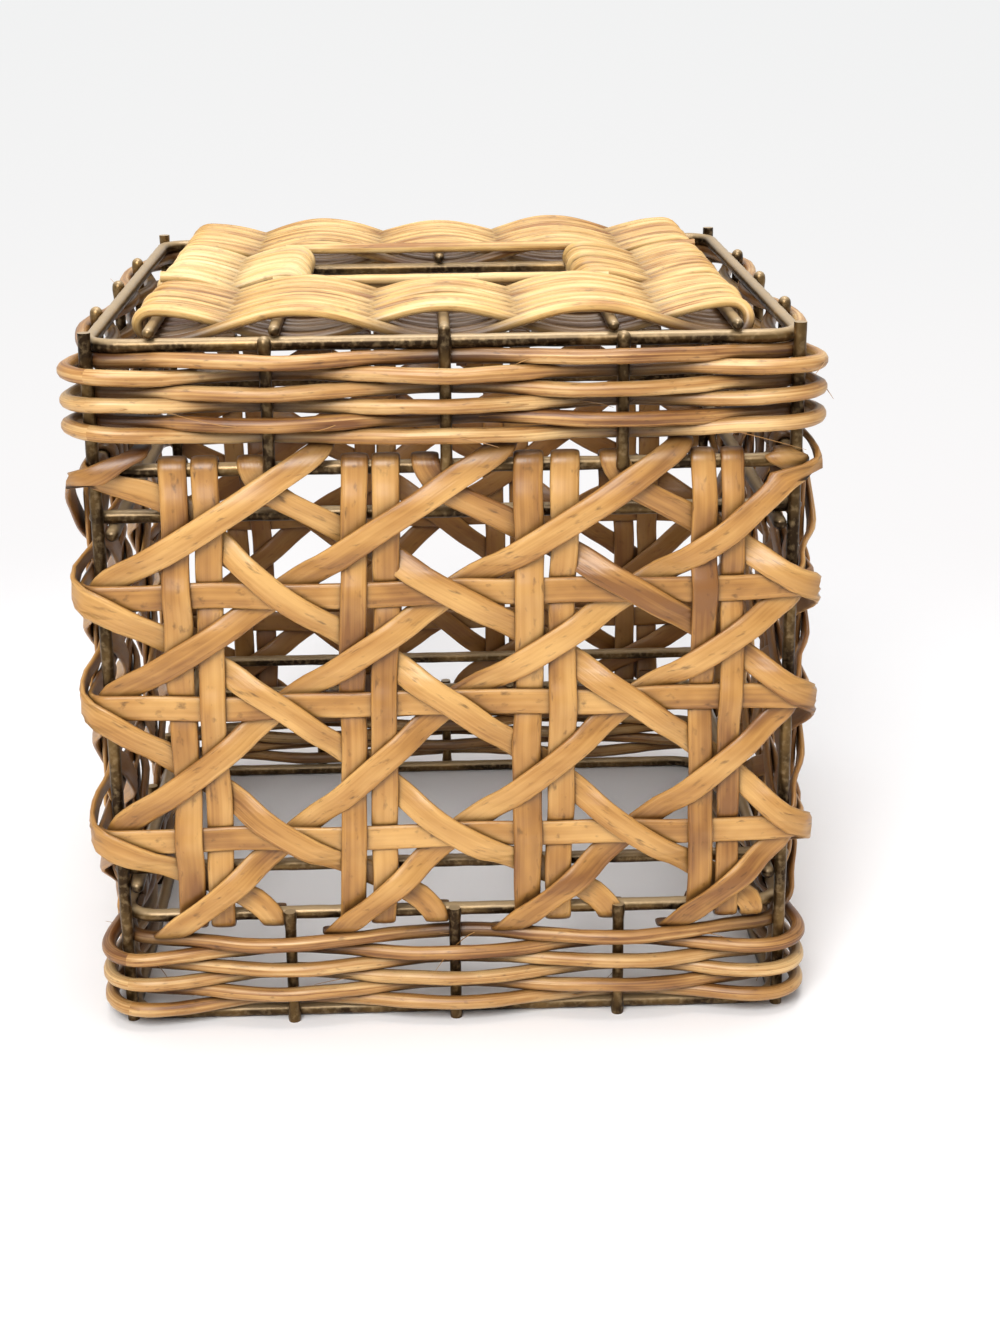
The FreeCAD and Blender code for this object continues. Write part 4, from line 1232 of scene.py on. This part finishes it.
class SCENE_OT_woven_cover_stage(bpy.types.Operator):
    """Sets the floor, the light and the camera"""

    bl_idname = "scene.woven_cover_stage"
    bl_label = "Stage"

    def execute(self, context):
        self.lay_floor(context)
        self.set_light(context)
        self.set_camera(context)
        context.scene.view_settings.view_transform = "Standard"
        return {"FINISHED"}

    def seen(self, tree):
        """1 where the eye looks, straight or by a reflection, and 0 for light that falls on things."""
        path = add_node(tree, "ShaderNodeLightPath").outputs
        total = 0.0
        for ray in ("Is Camera Ray", "Is Glossy Ray", "Is Transmission Ray"):
            total = add_node(tree, "ShaderNodeMath", {0: total, 1: path[ray]}, operation="ADD",
                             use_clamp=True).outputs["Value"]
        return total

    def lay_floor(self, context):
        # the floor sweeps up into a backdrop without an edge
        turns = np.linspace(0, math.pi / 2, SWEEP_POINTS)
        depth = np.concatenate([[FLOOR_FRONT], FLOOR_BACK + SWEEP * np.sin(turns), [FLOOR_BACK + SWEEP]])
        height = np.concatenate([[0.0], SWEEP * (1 - np.cos(turns)), [BACKDROP_TOP]])
        bpy.ops.object.select_all(action="DESELECT")
        bpy.ops.mesh.primitive_grid_add(x_subdivisions=1, y_subdivisions=len(depth) - 1, size=2)
        floor = context.object
        floor.name = "floor"
        for vertex in floor.data.vertices:
            row = round((vertex.co.y + 1) / 2 * (len(depth) - 1))
            vertex.co = (vertex.co.x * FLOOR_HALF_WIDTH, depth[row], height[row])
        bpy.ops.object.shade_smooth()
        floor.data.materials.append(self.paper())

    def paper(self):
        """Matt white backdrop paper: it keeps the shadow near the cover and is evenly white farther off."""
        material, tree, surface = new_material("backdrop_paper")
        place = add_node(tree, "ShaderNodeTexCoord").outputs["Object"]
        mottle = add_node(tree, "ShaderNodeTexNoise", {
            "Vector": place, "Scale": 1 / PAPER_MOTTLE, "Detail": 2.0}).outputs["Fac"]
        tints = add_node(tree, "ShaderNodeValToRGB", {"Fac": mottle},
                         [(stop, to_linear(tint)) for stop, tint in PAPER_TINTS])
        tree.links.new(tints.outputs["Color"], surface.inputs["Base Color"])
        surface.inputs["Roughness"].default_value = PAPER_ROUGHNESS
        where = add_node(tree, "ShaderNodeNewGeometry").outputs["Position"]
        far = add_node(tree, "ShaderNodeVectorMath", {"Vector": where}, operation="LENGTH").outputs["Value"]
        away = add_node(tree, "ShaderNodeMapRange", {
            "Value": far, "From Min": SHADOW_NEAR, "From Max": SHADOW_FAR},
            interpolation_type="SMOOTHSTEP").outputs["Result"]
        up_sweep = add_node(tree, "ShaderNodeMapRange", {
            "Value": far, "From Min": WHITE_NEAR, "From Max": WHITE_FAR}).outputs["Result"]
        white = add_node(tree, "ShaderNodeValToRGB", {"Fac": up_sweep},
                         [(stop, to_linear(tint)) for stop, tint in PAPER_WHITES])
        glow = add_node(tree, "ShaderNodeEmission", {"Color": white.outputs["Color"]})
        share = add_node(tree, "ShaderNodeMath", {0: away, 1: self.seen(tree)},
                         operation="MULTIPLY").outputs["Value"]
        mix = add_node(tree, "ShaderNodeMixShader", {
            0: share, 1: surface.outputs["BSDF"], 2: glow.outputs["Emission"]})
        tree.links.new(mix.outputs["Shader"], tree.nodes["Material Output"].inputs["Surface"])
        return material

    def set_light(self, context):
        world = bpy.data.worlds.new("soft_room")
        context.scene.world = world
        world.use_nodes = True
        tree = world.node_tree
        tree.nodes.clear()
        light = add_node(tree, "ShaderNodeBackground", {
            "Color": to_linear(ROOM_TINT), "Strength": ROOM_LIGHT})
        white = add_node(tree, "ShaderNodeBackground", {"Color": to_linear(ROOM_WHITE), "Strength": 1.0})
        mix = add_node(tree, "ShaderNodeMixShader", {
            0: self.seen(tree), 1: light.outputs["Background"], 2: white.outputs["Background"]})
        add_node(tree, "ShaderNodeOutputWorld", {"Surface": mix.outputs["Shader"]})
        for name, place, aim, size, power in LAMPS:
            bpy.ops.object.light_add(type="AREA", location=place)
            lamp = context.object
            lamp.name = name
            lamp.data.size = size
            lamp.data.energy = power
            lamp.rotation_euler = (Vector(aim) - Vector(place)).to_track_quat("-Z", "Y").to_euler()

    def set_camera(self, context):
        ahead = Vector((math.sin(CAMERA_YAW) * math.cos(CAMERA_PITCH),
                        math.cos(CAMERA_YAW) * math.cos(CAMERA_PITCH), -math.sin(CAMERA_PITCH)))
        right = Vector((math.cos(CAMERA_YAW), -math.sin(CAMERA_YAW), 0))
        above = right.cross(ahead)
        turned_right = right * math.cos(CAMERA_ROLL) + above * math.sin(CAMERA_ROLL)
        turned_up = above * math.cos(CAMERA_ROLL) - right * math.sin(CAMERA_ROLL)
        bpy.ops.object.camera_add()
        camera = context.object
        camera.name = "camera"
        axes = Matrix((turned_right, turned_up, -ahead)).transposed()
        camera.matrix_world = Matrix.Translation(CAMERA_PLACE) @ axes.to_4x4()
        camera.data.sensor_fit = "VERTICAL"
        camera.data.sensor_height = SENSOR_HEIGHT
        camera.data.lens = LENS_PIXELS / PHOTO_HEIGHT * SENSOR_HEIGHT
        camera.data.clip_start = CLIP_START
        context.scene.camera = camera


class VIEW3D_PT_woven_cover(bpy.types.Panel):
    """Sizes and steps of the woven cover"""

    bl_idname = "VIEW3D_PT_woven_cover"
    bl_label = "Woven cover"
    bl_space_type = "VIEW_3D"
    bl_region_type = "UI"
    bl_category = "Woven cover"

    def draw(self, context):
        layout = self.layout
        for group in (sizes(), weave(), colours()):
            for name in group.bl_rna.properties.keys():
                if name not in ("rna_type", "name"):
                    layout.prop(group, name)
        for step in STEPS:
            layout.operator(step.bl_idname)


STEPS = (
    MESH_OT_woven_cover_hoops,
    MESH_OT_woven_cover_posts,
    MESH_OT_woven_cover_stakes,
    MESH_OT_woven_cover_ties,
    MESH_OT_woven_cover_top_wires,
    MESH_OT_woven_cover_bands,
    MESH_OT_woven_cover_top,
    MESH_OT_woven_cover_girdles,
    MESH_OT_woven_cover_uprights,
    MESH_OT_woven_cover_diagonals,
    SCENE_OT_woven_cover_stage,
)
CLASSES = (WovenCoverFrame, WovenCoverWeave, WovenCoverColours) + STEPS + (VIEW3D_PT_woven_cover,)


def register():
    for one in CLASSES:
        bpy.utils.register_class(one)
    bpy.types.Scene.woven_cover_frame = bpy.props.PointerProperty(type=WovenCoverFrame)
    bpy.types.Scene.woven_cover_weave = bpy.props.PointerProperty(type=WovenCoverWeave)
    bpy.types.Scene.woven_cover_colours = bpy.props.PointerProperty(type=WovenCoverColours)


def unregister():
    del bpy.types.Scene.woven_cover_colours
    del bpy.types.Scene.woven_cover_weave
    del bpy.types.Scene.woven_cover_frame
    for one in reversed(CLASSES):
        bpy.utils.unregister_class(one)


def main():
    register()
    bpy.ops.mesh.woven_cover_hoops()
    bpy.ops.mesh.woven_cover_posts()
    bpy.ops.mesh.woven_cover_stakes()
    bpy.ops.mesh.woven_cover_ties()
    bpy.ops.mesh.woven_cover_top_wires()
    bpy.ops.mesh.woven_cover_bands()
    bpy.ops.mesh.woven_cover_top()
    bpy.ops.mesh.woven_cover_girdles()
    bpy.ops.mesh.woven_cover_uprights()
    bpy.ops.mesh.woven_cover_diagonals()
    bpy.ops.scene.woven_cover_stage()


if __name__ == "__main__":
    main()
